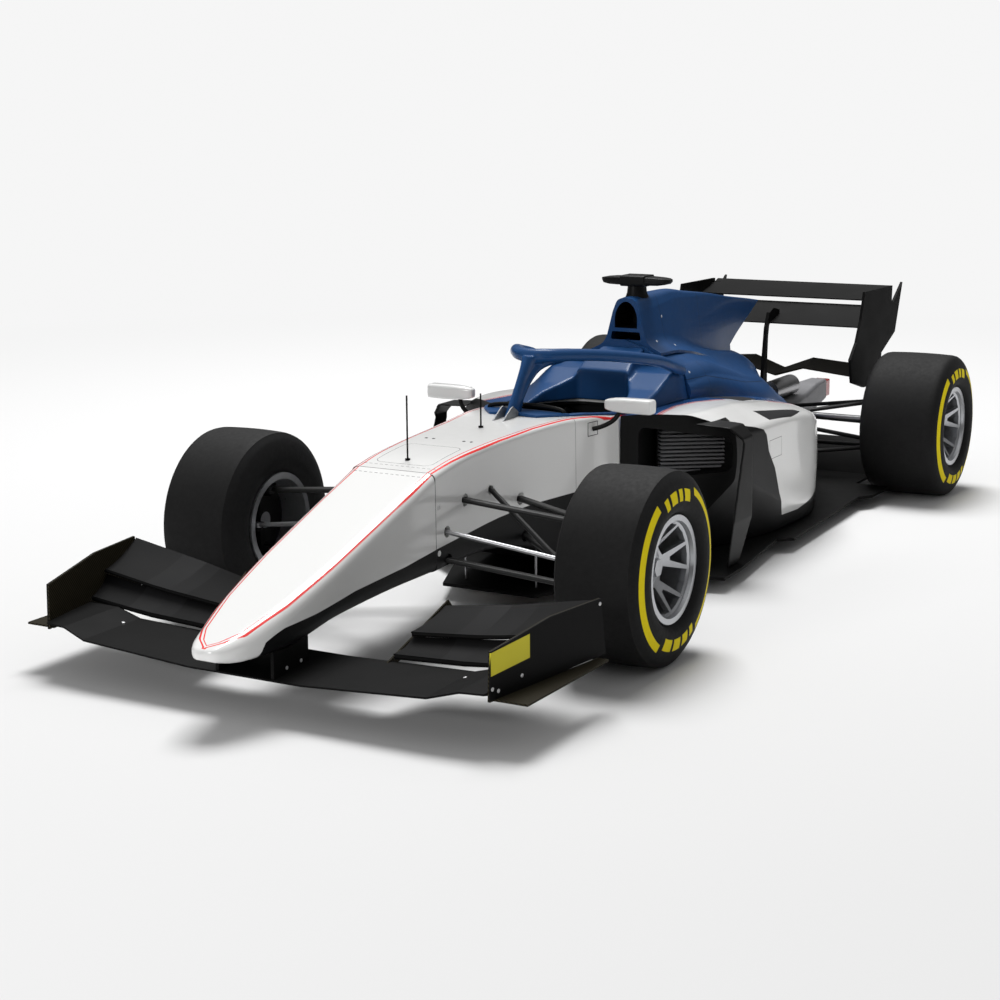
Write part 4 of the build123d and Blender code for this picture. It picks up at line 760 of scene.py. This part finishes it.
BLACK_SMOOTH = carbon_skin("black_shell", 0.0028, 0.0050, (0.42, 0.52), 0.009, shine=0.15)
GLASS = plain("mirror_glass", rgb(0.02, 0.022, 0.025), (0.05, 0.1), metallic=0.9, grain=30, depth=0.0)
STEEL_BRIGHT = metal("bolt_bright", (0.75, 0.75, 0.76), (0.25, 0.35), 0.4)
WHITE_HEAD = plain("white_head", rgb(0.78, 0.78, 0.78), (0.35, 0.45))
DARK_HEAD = plain("dark_head", rgb(0.012, 0.012, 0.012), (0.4, 0.5))
BY_NODE = {
    "front_wishbones_left": ARM, "front_wishbones_right": ARM, "rear_suspension": ARM, "beam_wing": OLIVE,
    "side_vanes": BLACK_SMOOTH, "front_endplates": plate_coat("plate_coat"), "front_flaps": flap_coat("flap_coat"),
}

for row in frame["record"]["subparts"]:
    node = frame["nodes"][row["node"]]
    node.data.materials.clear()
    node.data.materials.append(BY_NODE.get(row["node"], MATERIALS[row["material_slot"]]))
    for face in node.data.polygons:
        face.material_index = 0

# Nose and tub, in mm: station, half width above and below, bottom, top, corner radius
NOSE = [(-1290, 22, 22, 236, 256, 9), (-1284, 38, 36, 229, 262, 12), (-1262, 60, 56, 220, 270, 20),
        (-1182, 96, 92, 206, 296, 34), (-1013, 132, 130, 214, 354, 34), (-780, 152, 152, 256, 434, 32),
        (-450, 160, 162, 276, 548, 30), (-233, 166, 168, 281, 620, 27)]
TUB = [(-233, 166, 168, 281, 620, 26), (-90, 166, 168, 288, 644, 24), (60, 168, 170, 288, 658, 22),
       (200, 175, 178, 276, 666, 20), (400, 190, 196, 238, 674, 19), (510, 204, 212, 200, 678, 19),
       (600, 217, 226, 160, 680, 19), (770, 245, 252, 100, 672, 19), (975, 272, 282, 62.3, 648, 19),
       (1100, 299, 299, 62.3, 636, 19), (1490, 299, 299, 62.3, 630, 19)]
TUB_WALL = 24.0


def trough(inset=0.0, soft=1.0):
    """Half sections of a rounded trapezoid."""
    def shape(top_half, low_half, low, top, radius):
        ht, hb, b, t = top_half - inset, low_half - inset, low + inset, top - inset
        r = max(radius * soft, 1.0)
        return [(0, b), (hb, b), (ht, t), (0, t)], [min(r, hb * 0.9), min(r, ht * 0.9)], (8, 14, 12)
    return shape


nose_places = spaced(-1290, -1262, 7)[:-1] + spaced(-1262, -1182, 11)[:-1] + spaced(-1182, -233, 24)
nose_mesh = half_skin(nose_places, sections(NOSE, nose_places, trough(soft=1.25)))
nose = link("nose_skin", nose_mesh, material=nose_paint("nose_white", (-0.2335,)), smooth=50)
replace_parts(nose, "nose_cone")

tub_places = spaced(-232, 1490, 28)
inner_places = spaced(-188, 1420, 60)
tub = link("tub_skin", half_skin(tub_places, sections(TUB, tub_places, trough())),
           material=nose_paint("tub_white", (-0.2325, 0.665), hollow=True), smooth=0)
cut(tub, half_skin(inner_places, sections(TUB, inner_places, trough(TUB_WALL, 0.3))))

# The cockpit's mouth, in mm: half width, station
COCKPIT = [(0, 650), (112, 650), (160, 720), (205, 820), (226, 1000), (226, 1180), (190, 1300), (120, 1385), (0, 1385)]
mouth = [(x / 1000, at(s / 1000)) for x, s in rounded(COCKPIT, [60, 70, 90, 120, 120, 90, 60], 5, arc=5)]
mouth += [(-x, y) for x, y in reversed(mouth[1:-1])]
cut(tub, prism(mouth, "Z", 0.52, 0.82))

# The seats of the front arms in the tub (outer end and seat as x, station, z; radius), and the track rod's hole
UPPER, LOWER = (0.680, 0.0, 0.445), (0.680, 0.0, 0.223)
LEGS = [(UPPER, (0.168, -0.040, 0.496), 0.022), (UPPER, (0.184, 0.321, 0.436), 0.022),
        (LOWER, (0.169, -0.154, 0.309), 0.022), (LOWER, (0.186, 0.352, 0.296), 0.022),
        ((0.596, 0.014, 0.228), (0.172, 0.129, 0.503), 0.016)]
SEAT_DEPTH, SEAT_REACH = 0.0085, 0.08
ROD_HOLE = [(at(-0.161) + 0.020 * math.cos(t), 0.4095 + 0.020 * math.sin(t)) for t in turns(32)]
for side, _ in SIDES:
    for outer_end, seat_end, radius in LEGS:
        a, b = placed((outer_end, seat_end), side)
        out = (a - b).normalized()
        cut(tub, tube([b - out * SEAT_DEPTH, b + out * SEAT_REACH], radius, 32))
    cut(tub, prism(ROD_HOLE, "X", *sorted((side * 0.13, side * 0.26))))
shade(tub.data, 32)
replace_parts(tub, "monocoque")

# Tyres: name, side, middle's distance from the car's middle, Y and width
WHEELS = [("front_left", 1, 0.790, FRONT_AXLE, 0.320), ("front_right", -1, 0.790, FRONT_AXLE, 0.320),
          ("rear_left", 1, 0.7575, REAR_AXLE, 0.385), ("rear_right", -1, 0.7575, REAR_AXLE, 0.385)]
TYRE_RADIUS, BEAD_RADIUS = 0.330, 0.1665
TREAD_STEPS, TYRE_STEPS = 18, 144
# Down a tyre's wall: how far in from its width, and how far in from its height or a radius
SHOULDER = ((0.0295, 0.0118), (0.0215, 0.0205), (0.0150, 0.0330), (0.0088, 0.0520))
WALL = ((0.0035, 0.258), (0.0004, 0.240), (0.0, 0.226), (0.0026, 0.209), (0.0095, 0.195), (0.0262, 0.1855))


def tyre_mesh(centre, side, width):
    half = width / 2
    tread = [(t * half * 0.72, TYRE_RADIUS - 0.0035 * t * t)
             for t in (-1 + 2 * k / TREAD_STEPS for k in range(TREAD_STEPS + 1))]
    wall = [(half * 0.80, TYRE_RADIUS - 0.0066)] + [(half - x, TYRE_RADIUS - r) for x, r in SHOULDER]
    wall += [(half - x, r) for x, r in WALL]
    inner = [(-(half - 0.0134), BEAD_RADIUS), (-(half - 0.0132), 0.1855)] + [(-x, r) for x, r in reversed(wall[:-1])]
    line = inner + tread + wall + [(half - 0.0264, BEAD_RADIUS)]
    points = [(side * (centre[0] + x), centre[1] + r * math.cos(turn), centre[2] + r * math.sin(turn))
              for turn in turns(TYRE_STEPS) for x, r in line]
    n, total = len(line), len(points)
    faces = [tuple(i % total for i in face) for face in grid_faces(TYRE_STEPS + 1, n, wrap=True)]
    return weld(mesh_from(points, faces))


for name, side, x, y, width in WHEELS:
    mesh = tyre_mesh((x, y, WHEEL_Z), side, width)
    coat = tyre_coat("tyre_" + name, (side * x, y, WHEEL_Z), side, width / 2)
    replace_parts(link("tyre_skin_" + name, mesh, "wheel_" + name, coat), "tyre_" + name)

# Sidepods, in mm: station, inner side, half widths of floor and side, the side's foot, its shoulder,
# the top's half width and height, and the top's inner height
POD = [(900, 268, 330, 560, 400, 520, 420, 640, 652), (1020, 286, 372, 580, 396, 536, 448, 641, 648),
       (1100, 299, 396, 592, 392, 545, 466, 641, 645), (1290, 300, 440, 614, 372, 560, 500, 640, 642),
       (1541, 300, 520, 620, 290, 548, 490, 628, 634), (1816, 300, 590, 622, 190, 545, 480, 596, 606),
       (2100, 300, 600, 616, 140, 522, 455, 560, 568), (2400, 284, 530, 534, 130, 440, 410, 500, 509),
       (2700, 246, 400, 402, 120, 330, 330, 412, 432), (2900, 214, 300, 302, 110, 236, 262, 330, 360)]
FLOOR_TOP = 62.3
# An inlet's plane: from its inner to its outer end, and the way back into the duct
INLET_INNER, INLET_OUTER = Vector((0.268, at(0.942), 0)), Vector((0.630, at(1.296), 0))
INLET_LENGTH = (INLET_OUTER - INLET_INNER).length
INLET_ALONG = (INLET_OUTER - INLET_INNER).normalized()
INLET_BACK = Vector((-INLET_ALONG.y, INLET_ALONG.x, 0))
DUCT_DEPTH = 0.150
DUCT_WALL_X = 0.307


def inlet_point(side, across, z, back=0.0):
    place = INLET_INNER + INLET_ALONG * across + INLET_BACK * back
    return Vector((side * place.x, place.y, z))


def pod_shape(inner, floor_half, outer, under, shoulder, top_half, top, inner_top):
    corners = [(inner, FLOOR_TOP), (floor_half, FLOOR_TOP), (outer, under), (outer, shoulder), (top_half, top),
               (inner, inner_top)]
    return corners, [14, 70, 46, 70], (6, 8, 8, 8, 10), 8, (0, -3, 4, 3, 5)


def mouth_ring(margin):
    """An inlet's outline as (across, z), a margin in."""
    near, far = 0.10 * INLET_LENGTH + margin, 0.93 * INLET_LENGTH - margin
    low, low_out, high, high_out = 0.392 + margin, 0.410 + margin, 0.604 - margin, 0.540 - margin
    corners = [(near + 0.05, low), (far, low_out), (far, high_out), (near, high), (near, low), (near + 0.05, low)]
    return rounded(corners, [0.036, 0.036, 0.034, 0.034], 4)[:-1]


def keep_faces(mesh, wanted):
    shape = bmesh.new()
    shape.from_mesh(mesh)
    bmesh.ops.delete(shape, geom=[f for f in shape.faces if not wanted(f)], context="FACES")
    shape.to_mesh(mesh)
    shape.free()
    shade(mesh, 35)


def is_bare(face, side):
    """The face round the mouth and the duct behind it are bare carbon."""
    way = face.calc_center_median() - inlet_point(side, 0, 0)
    back = Vector((side * INLET_BACK.x, INLET_BACK.y, 0))
    deep, across = way.dot(back), way.dot(Vector((side * INLET_ALONG.x, INLET_ALONG.y, 0)))
    in_front = deep < 0.002 and face.normal.dot(back) < -0.72
    in_duct = 0.0006 < deep < DUCT_DEPTH + 0.001 and 0.388 < way.z < 0.608 and 0.04 < across < 0.4725
    return in_front or in_duct and abs(face.calc_center_median().x) > 0.3035


POD_WHITE = pod_paint("pod_white")
pod_places = spaced(900, 2900, 25)
pod_lines = sections(POD, pod_places, pod_shape)
for side, tag in SIDES:
    pod_rings = [[(side * x, at(place / 1000), z) for x, z in line] for place, line in zip(pod_places, pod_lines)]
    pod = link("sidepod_skin_" + tag, lofted(pod_rings),
               material=POD_WHITE, smooth=0)
    near, far = inlet_point(side, -0.3, 0), inlet_point(side, 0.9, 0)
    out = [(near.x, near.y), (far.x, far.y), (far.x, far.y - 1.2), (near.x, near.y - 1.2)]
    cut(pod, prism(out, "Z", 0.0, 0.9))
    block = []
    for back in (-0.04, DUCT_DEPTH):
        nearest = (DUCT_WALL_X - INLET_INNER.x - INLET_BACK.x * back) / INLET_ALONG.x
        block.append([inlet_point(side, max(a, nearest), z, back) for a, z in mouth_ring(0.0)])
    cut(pod, lofted(block))
    duct = pod.data.copy()
    duct.materials.clear()
    keep_faces(pod.data, lambda face: not is_bare(face, side))
    keep_faces(duct, lambda face: is_bare(face, side))
    link("inlet_" + tag, duct, material=BLACK_SMOOTH, smooth=0)
    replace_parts(pod, "sidepod_" + tag)

# The radiators' cores with slanted fins: a fin's section as (back, height)
CORE_START, FIN_START, FIN_END = 0.201, 0.205, 0.4690
FIN_COUNT, FIN_LOW, FIN_PITCH = 12, 0.404, 0.0155
FIN_SECTION = ((0.080, 0.0), (0.086, 0.0062), (0.1203, 0.0070), (0.1203, 0.0005))
for side, tag in SIDES:
    ring = [(max(a, CORE_START), z) for a, z in mouth_ring(0.001)]
    core = lofted([[inlet_point(side, a, z, b) for a, z in ring] for b in (0.120, 0.1497)])
    link("radiator_core_" + tag, core, material=BLACK_SMOOTH, smooth=30)
    fins = []
    for k in range(FIN_COUNT):
        end = FIN_END - max(0.0, 0.030 * (k - 8.6))
        fins.append(lofted([[inlet_point(side, FIN_START + (end - FIN_START) * t,
                                                FIN_LOW + k * FIN_PITCH + dz - 0.008 * t, b) for b, dz in FIN_SECTION]
                                   for t in (0, 0.5, 1)]))
    fins = link("radiator_fins_" + tag, joined(fins),
                material=metal("fin_alloy_" + tag, (0.26, 0.26, 0.27), (0.40, 0.55), 0.3), smooth=30)
    if side > 0:
        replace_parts(fins, "radiators")

# Engine cover, in mm: station, half width and bottom of the skirt, its top, the shoulder's half width and
# height, the neck's half width and height
COVER = [(1541, 300, 556, 634, 282, 748, 96, 830), (1800, 300, 556, 612, 262, 738, 88, 822),
         (2100, 300, 556, 566, 236, 676, 70, 770), (2400, 284, 470, 508, 206, 604, 52, 712),
         (2700, 246, 402, 432, 160, 552, 30, 668), (2900, 214, 390, 402, 110, 480, 20, 600),
         (3021, 150, 386, 392, 76, 440, 14, 512)]
COVER_JOINT = stations([(1541, 712), (1760, 700), (2235, 610), (2600, 560), (3021, 430)])
COVER_SEAMS = (1.760, 2.235)
# Its spine and fin, in mm: station, the neck's half width and height, the crest's half width and height
SPINE = [(1563, 94, 838, 60, 1030), (1700, 92, 834, 59, 1037), (1900, 84, 806, 46, 1036), (2150, 62, 750, 26, 1006),
         (2400, 40, 702, 13, 974), (2640, 16, 676, 8, 937), (2760, 9, 650, 7, 921), (2880, 8, 620, 6.5, 905),
         (2996, 7, 590, 6, 888)]
SPINE_TAIL = [(2640, 716), (3060, 915), (3060, 400), (2700, 400)]


def cover_shape(half, low, skirt, sh, shoulder, nh, neck):
    corners = [(0, low), (half, low), (half, skirt), (sh, shoulder), (nh, neck), (0, neck + min(30, nh * 0.4))]
    return corners, [3, 26, 90, 60], (4, 4, 10, 12, 8), 8, (0, 0, 10, -8, 0)


def spine_shape(nh, low, ch, crest):
    flare = min(66.0, nh * 0.75)
    corners = [(0, low - 40), (nh + flare, low - 40), (nh + flare, low - 0.42 * flare), (nh, low + 4),
               (ch, crest - min(0.95 * ch, (crest - low) * 0.4)), (ch * 0.66, crest - 0.1 * ch), (0, crest)]
    return corners, [1, 1, min(90, 1.6 * flare), 1.2 * ch, 1.2 * ch], (3, 3, 6, 12, 3, 6)


def arch(half, low, high, count=24):
    """A round topped mouth seen from the front, as (x, z)."""
    spring = low + (high - low) * 0.36
    line = [(half * math.cos(t) * (1 - 0.10 * math.sin(t)), spring + (high - spring) * math.sin(t))
            for t in (math.pi * k / count for k in range(count + 1))]
    return [(half, low)] + line + [(-half, low)]


cover_places = spaced(1541, 3021, 30)
cover = link("cover_skin", half_skin(cover_places, sections(COVER, cover_places, cover_shape)),
             material=blue_coat("cover_blue", COVER_SEAMS, COVER_JOINT))
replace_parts(cover, "engine_cover")
spine_places = spaced(1563, 2996, 24)
spine = link("spine_skin", half_skin(spine_places, sections(SPINE, spine_places, spine_shape)),
             material=blue_coat("spine_blue", COVER_SEAMS), smooth=0)
cut(spine, prism(stations(SPINE_TAIL), "X", -0.2, 0.2))
cut(spine, prism(arch(0.051, 0.905, 1.014), "Y", at(1.50), at(1.735)))
slot_ring = rounded([(0, 0.857), (0.068, 0.857), (0.063, 0.890), (0, 0.890)], [0.006, 0.006], 4, arc=6)
slot_ring = [tuple(p) for p in slot_ring] + [(-x, z) for x, z in reversed(slot_ring[1:-1])]
cut(spine, prism(slot_ring, "Y", at(1.50), at(1.735)))
shade(spine.data, 38)

# The dark linings of the intake and of the slot below it
for name, ring in (("intake_lining", arch(0.0505, 0.9055, 1.0135)), ("slot_lining", slot_ring)):
    points = [(x, y, z) for y in (at(1.5645), at(1.734)) for x, z in ring]
    n = len(ring)
    faces = grid_faces(2, n, wrap=True) + [tuple(range(n, 2 * n))]
    link(name, mesh_from(points, faces), material=BLACK_SMOOTH, smooth=30)

# Halo: half of the hoop in mm as x, station, z; the pylon's station, z, length and width; a fan arm as x, station, z
HOOP = [(0, 752, 888), (58, 768, 890), (112, 838, 887), (168, 935, 878), (222, 1045, 863),
        (262, 1150, 845), (286, 1270, 821), (292, 1370, 791), (280, 1500, 755)]
PYLON = ((0.590, 0.655, 0.118, 0.040), (0.604, 0.690, 0.104, 0.036), (0.640, 0.750, 0.084, 0.031),
         (0.672, 0.800, 0.074, 0.031), (0.704, 0.840, 0.074, 0.036), (0.728, 0.866, 0.084, 0.048),
         (0.744, 0.884, 0.092, 0.060))
FAN = ((0.002, 0.646, 0.735), (0.004, 0.692, 0.790), (0.011, 0.752, 0.838), (0.034, 0.806, 0.864),
       (0.082, 0.862, 0.878))
HOOP_RADIUS, HOOP_FRONT_EXTRA = 0.0235, 0.004
hoop = [(x / 1000, at(s / 1000), z / 1000) for x, s, z in [(-x, s, z) for x, s, z in reversed(HOOP[1:])] + HOOP]
path = spline(hoop, 8)
radii = [HOOP_RADIUS + HOOP_FRONT_EXTRA * max(0.0, 1 - abs(p.x) / 0.16) for p in path]
parts = [tube(path, radii, 28)]
parts.append(lofted([
    [(wide / 2 * math.cos(t), at(station) + chord / 2 * math.sin(t),
      z - 0.25 * (chord / 2) * math.sin(t) * (1 if z > 0.82 else 0.4)) for t in turns(32)]
    for station, z, chord, wide in PYLON]))
for side, _ in SIDES:
    path = spline(placed(FAN, side), 6)
    parts.append(tube(path, [0.0165 + 0.0055 * min(1, i / 18) for i in range(len(path))], 20))
halo = link("halo_skin", joined(parts), material=blue_coat("halo_blue"), smooth=60)
melt(halo, 0.0042, 12)
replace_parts(halo, "halo")

surround = link("surround_skin", node_mesh("cockpit_surround"),
                material=blue_coat("surround_blue"), smooth=0)
melt(surround, 0.0052, 13)
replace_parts(surround, "cockpit_surround")

vanes = link("vane_skin", node_mesh("side_vanes"), material=BLACK_SMOOTH, smooth=0)
melt(vanes, 0.0034, 14)
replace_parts(vanes, "side_vanes")

# The blue deck that closes the front of the cockpit round the halo's foot (station, half width, z), and the
# dark cowl behind it. Both end before the steering wheel's sweep.
DECK = ((0.6005, 0.100, 0.6885), (0.628, 0.124, 0.6885), (0.650, 0.140, 0.6883), (0.670, 0.155, 0.6878),
        (0.690, 0.171, 0.6870), (0.706, 0.183, 0.6865))
DECK_BOW, DECK_THICKNESS = 0.005, 0.010
deck_rings = []
for station, half, z in DECK:
    upper = [(half * share, at(station), z + DECK_BOW * (1 - share ** 2)) for share in (k / 12 - 1 for k in range(25))]
    deck_rings.append(upper + [(x, y, z - DECK_THICKNESS) for x, y, z in reversed(upper)])
link("cockpit_deck", lofted(deck_rings), material=blue_coat("deck_blue"))
cowl_line = [(-0.160 * math.cos(t), at(0.705), 0.686 + 0.022 * max(math.sin(t), 0) ** 0.7)
             for t in (math.pi * k / 24 for k in range(25))]
link("dash_cowl", tube(cowl_line, 0.008, 14), material=BLACK_SMOOTH, smooth=50)


def box_ring(x, y, half_y, low, high, corner):
    """A rounded rectangle across the car at x."""
    y0, y1 = y - half_y, y + half_y
    corners = [(y, low), (y1, low), (y1, high), (y0, high), (y0, low), (y, low)]
    return [(x, a, b) for a, b in rounded(corners, [corner] * 4, 2, arc=6)[:-1]]


def rectangle(side, x0, x1, z0, z1):
    return [(side * x0, z0), (side * x1, z0), (side * x1, z1), (side * x0, z1)]


# Mirrors: white housings (x, share of the full section, corner) with dark glass behind, on curved black stalks
MIRROR_Y, MIRROR_Z, MIRROR_HALF = at(0.802), 0.718, 0.0278
MIRROR = ((0.2862, 0.50, 0.010), (0.289, 0.62, 0.012), (0.300, 0.76, 0.014), (0.325, 0.90, 0.016),
          (0.360, 0.98, 0.016), (0.420, 1.0, 0.015), (0.4700, 1.0, 0.014), (0.4768, 0.96, 0.013),
          (0.4798, 0.86, 0.012))
STALK = ((0.247, 0.772, 0.624), (0.283, 0.779, 0.636), (0.318, 0.786, 0.655), (0.338, 0.794, 0.678),
         (0.347, 0.802, 0.704))
for side, tag in SIDES:
    rings = [box_ring(side * x, MIRROR_Y, MIRROR_HALF * share, MIRROR_Z - MIRROR_HALF * share,
                      MIRROR_Z + MIRROR_HALF * share, corner * min(1, share + 0.1)) for x, share, corner in MIRROR]
    housing = link("mirror_housing_" + tag, lofted(rings),
                   material=gloss_paint("mirror_white_" + tag, WHITE))
    cut(housing, prism(rectangle(side, 0.305, 0.470, 0.697, 0.739), "Y", at(0.824), at(0.9)))
    glass = prism(rectangle(side, 0.306, 0.469, 0.698, 0.738), "Y", at(0.8222), at(0.8262))
    link("mirror_glass_" + tag, glass, material=GLASS, smooth=20)
    path = spline(placed(STALK, side), 6)
    link("mirror_stalk_" + tag, tube(path, 0.0085, 16), material=BLACK_SMOOTH)
    if side > 0:
        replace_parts(housing, "mirrors")

# Camera pod: a thick middle and two flat wings that taper (x, half length, bottom and top from the middle)
POD_Y, POD_Z = at(1.668), (1.070 + 1.116) / 2
POD_WING = [(0.053, 0.054, -0.0225, 0.0225), (0.057, 0.049, -0.0175, 0.0165), (0.110, 0.044, -0.0165, 0.0140),
            (0.140, 0.034, -0.012, 0.0115), (0.1555, 0.014, -0.002, 0.0085)]
POD_ROWS = [(-x, *rest) for x, *rest in reversed(POD_WING)] + [(0.0, 0.055, -0.0228, 0.0229)] + POD_WING
POD_STALK = ((1.022, 0.046, 0.060), (1.045, 0.038, 0.052), (1.074, 0.036, 0.048))
camera_rings = [box_ring(x, POD_Y, half_y, POD_Z + low, POD_Z + high, min(high, abs(low) + 0.003) * 0.6)
                for x, half_y, low, high in POD_ROWS]
stalk_rings = [[(wide * math.cos(t), POD_Y + deep * math.sin(t), z) for t in turns(32)] for z, wide, deep in POD_STALK]
camera_pod = joined([lofted(camera_rings), lofted(stalk_rings)])
camera_pod = link("camera_pod_skin", camera_pod, material=BLACK_SMOOTH, smooth=30)
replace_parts(camera_pod, "camera_pod")


def stud(place, normal, radius, height):
    """A low round screw head with a socket, lying on a surface."""
    profile = [(0, height * 0.35), (radius * 0.42, height * 0.35), (radius * 0.46, height), (radius * 0.8, height),
               (radius, height * 0.55), (radius, -0.0015)]
    turn = normal.normalized().to_track_quat("Z", "Y").to_matrix()
    points = [place + turn @ Vector((r * math.cos(t), r * math.sin(t), h)) for r, h in profile for t in turns(20)]
    return weld(mesh_from(points, grid_faces(len(profile), 20, wrap=True)))


def studs_on(piece, starts, radius, height, down=False):
    """Heads where rays meet a piece: inwards from both sides, or down."""
    heads = []
    for start in starts:
        for side in (1,) if down else (1, -1):
            origin, way = Vector((side * start[0], at(start[1]), start[2])), Vector((-side, 0, 0))
            hit, place, normal, _ = piece.ray_cast(origin, Vector((0, 0, -1)) if down else way)
            if hit:
                heads.append(stud(place, normal, radius, height))
    return heads


# Fasteners: x, station and z where each ray starts
link("nose_fasteners", joined(studs_on(tub, ((0.6, -0.213, 0.503), (0.6, -0.215, 0.345)),
                                                         0.010, 0.0016)), material=WHITE_HEAD)
link("nose_screws", joined(studs_on(tub, [(x, 0.135, 1.2) for x in (0.062, 0.092, -0.062, -0.092)],
                                                   0.006, 0.0012, down=True)), material=DARK_HEAD)
heads = studs_on(spine, ((0.6, 1.768, 0.936), (0.6, 1.800, 0.815), (0.6, 1.655, 0.846)), 0.0052, 0.0012)
heads += studs_on(cover, ((0.8, 1.600, 0.735), (0.8, 2.250, 0.540)), 0.0055, 0.0012)
link("cover_screws", joined(heads), material=WHITE_HEAD)
heads = studs_on(frame["nodes"]["front_endplates"], ((1.4, -0.505, 0.332), (1.4, -1.026, 0.192), (1.4, -0.999, 0.181),
                                                     (1.4, -0.890, 0.200)), 0.0062, 0.0022)
heads += studs_on(frame["nodes"]["front_wing"], ((0.16, -1.020, 0.152), (0.16, -0.945, 0.156), (0.16, -0.873, 0.160)),
                  0.0062, 0.0022)
link("plate_screws", joined(heads), material=STEEL_BRIGHT)

# Rounded noses under the flaps' leading edges, which narrow the slots before them: x, station, z and drop
FLAP_EDGES = ((((0.362, -0.8055, 0.1722), (0.600, -0.790, 0.178), (0.855, -0.7862, 0.2035)), 0.014),
              (((0.374, -0.7220, 0.2238), (0.600, -0.702, 0.238), (0.870, -0.6962, 0.2772)), 0.012))
noses = []
for rows, drop in FLAP_EDGES:
    section = ((0.004, 0.001), (0.0, 0.001), (-0.004, -0.45 * drop), (-0.002, -0.95 * drop), (0.001, -drop),
               (0.006, -0.3 * drop))
    for side, _ in SIDES:
        noses.append(lofted([[(side * x, at(s) + dy, z + dz) for dy, dz in section] for x, s, z in rows]))
link("flap_noses", joined(noses), material=MATERIALS["carbon"])

# The thin frame of the plate that each mirror's stalk stands on
FOOT_FRAME = ((0.742, 0.600), (0.804, 0.600), (0.804, 0.650), (0.742, 0.650), (0.742, 0.600))
frames = []
for side, _ in SIDES:
    hits = [tub.ray_cast(Vector((side * 0.8, at(s), z)), Vector((-side, 0, 0))) for s, z in FOOT_FRAME]
    frames.append(tube([place for _, place, _, _ in hits], 0.0016, 8))
link("mirror_feet", joined(frames), material=BLACK_SMOOTH)

# Floor, backdrop and light
BACKDROP = (0.92, 0.92, 0.92, 1)
FLOOR_GREY, FLOOR_REACH = 0.70, 60
GLOW_FROM, GLOW_STEP = 6.5, 6.0
SOFT_LIGHT = 0.29
# A mirrored ray sees the world's brightness rise between two heights
MIRRORED = (0.15, 0.85, 0.06, 0.85)
# Name, place, aim, size in metres, watts
LAMPS = (("key", (-2.6, 4.6, 15.0), (0, -0.3, 0.2), (7.5, 7.5), 2990),
         ("fill", (-1.0, -11.0, 3.4), (0, -0.6, 0.5), (3.0, 2.0), 300))


def stage_floor():
    """A pale floor that turns into the white of the backdrop far from the car."""
    corners = [(x * FLOOR_REACH, y * FLOOR_REACH, 0) for x, y in ((-1, -1), (1, -1), (1, 1), (-1, 1))]
    mesh = mesh_from(corners, [(0, 1, 2, 3)])
    floor = bpy.data.objects.new("floor_stage", mesh)
    bpy.context.scene.collection.objects.link(floor)
    g = Graph("floor_stage")
    g.set(color=rgb(FLOOR_GREY, FLOOR_GREY, FLOOR_GREY), rough=0.9, specular=0.0)
    far = g.above(g.length(g.x, g.y), GLOW_FROM, GLOW_STEP)
    glow = g.filled("ShaderNodeEmission", {0: BACKDROP})
    seen = g.node("ShaderNodeLightPath").outputs["Is Camera Ray"]
    mixed = g.filled("ShaderNodeMixShader", {0: g.both(seen, far), 1: g.bsdf.outputs[0], 2: glow})
    g.link(mixed, g.out.inputs[0])
    mesh.materials.append(g.mat)


def stage_world():
    """Soft light all round, a dark to light gradient for mirrored rays and the plain backdrop for the camera."""
    world = bpy.data.worlds.new("world")
    bpy.context.scene.world = world
    n = Nodes(world)
    rays = n.node("ShaderNodeLightPath").outputs
    ways = n.node("ShaderNodeSeparateXYZ")
    n.link(n.node("ShaderNodeTexCoord").outputs["Generated"], ways.inputs[0])
    soft = n.filled("ShaderNodeBackground", {0: (1, 1, 1, 1), 1: SOFT_LIGHT})
    mirrored = n.filled("ShaderNodeBackground", {1: n.spread(ways.outputs[2], *MIRRORED)})
    shown = n.filled("ShaderNodeBackground", {0: BACKDROP, 1: 1.0})
    lit = n.filled("ShaderNodeMixShader", {0: rays["Is Glossy Ray"], 1: soft, 2: mirrored})
    seen = n.filled("ShaderNodeMixShader", {0: rays["Is Camera Ray"], 1: lit, 2: shown})
    n.link(seen, n.node("ShaderNodeOutputWorld").inputs[0])


stage_floor()
stage_world()
for name, place, aim, size, watts in LAMPS:
    data = bpy.data.lights.new(name, "AREA")
    data.shape = "RECTANGLE"
    data.size, data.size_y = size
    data.energy = watts
    lamp = bpy.data.objects.new(name, data)
    bpy.context.scene.collection.objects.link(lamp)
    lamp.location = place
    lamp.rotation_euler = (Vector(aim) - Vector(place)).to_track_quat("-Z", "Y").to_euler()
bpy.context.scene.view_settings.view_transform = "Standard"
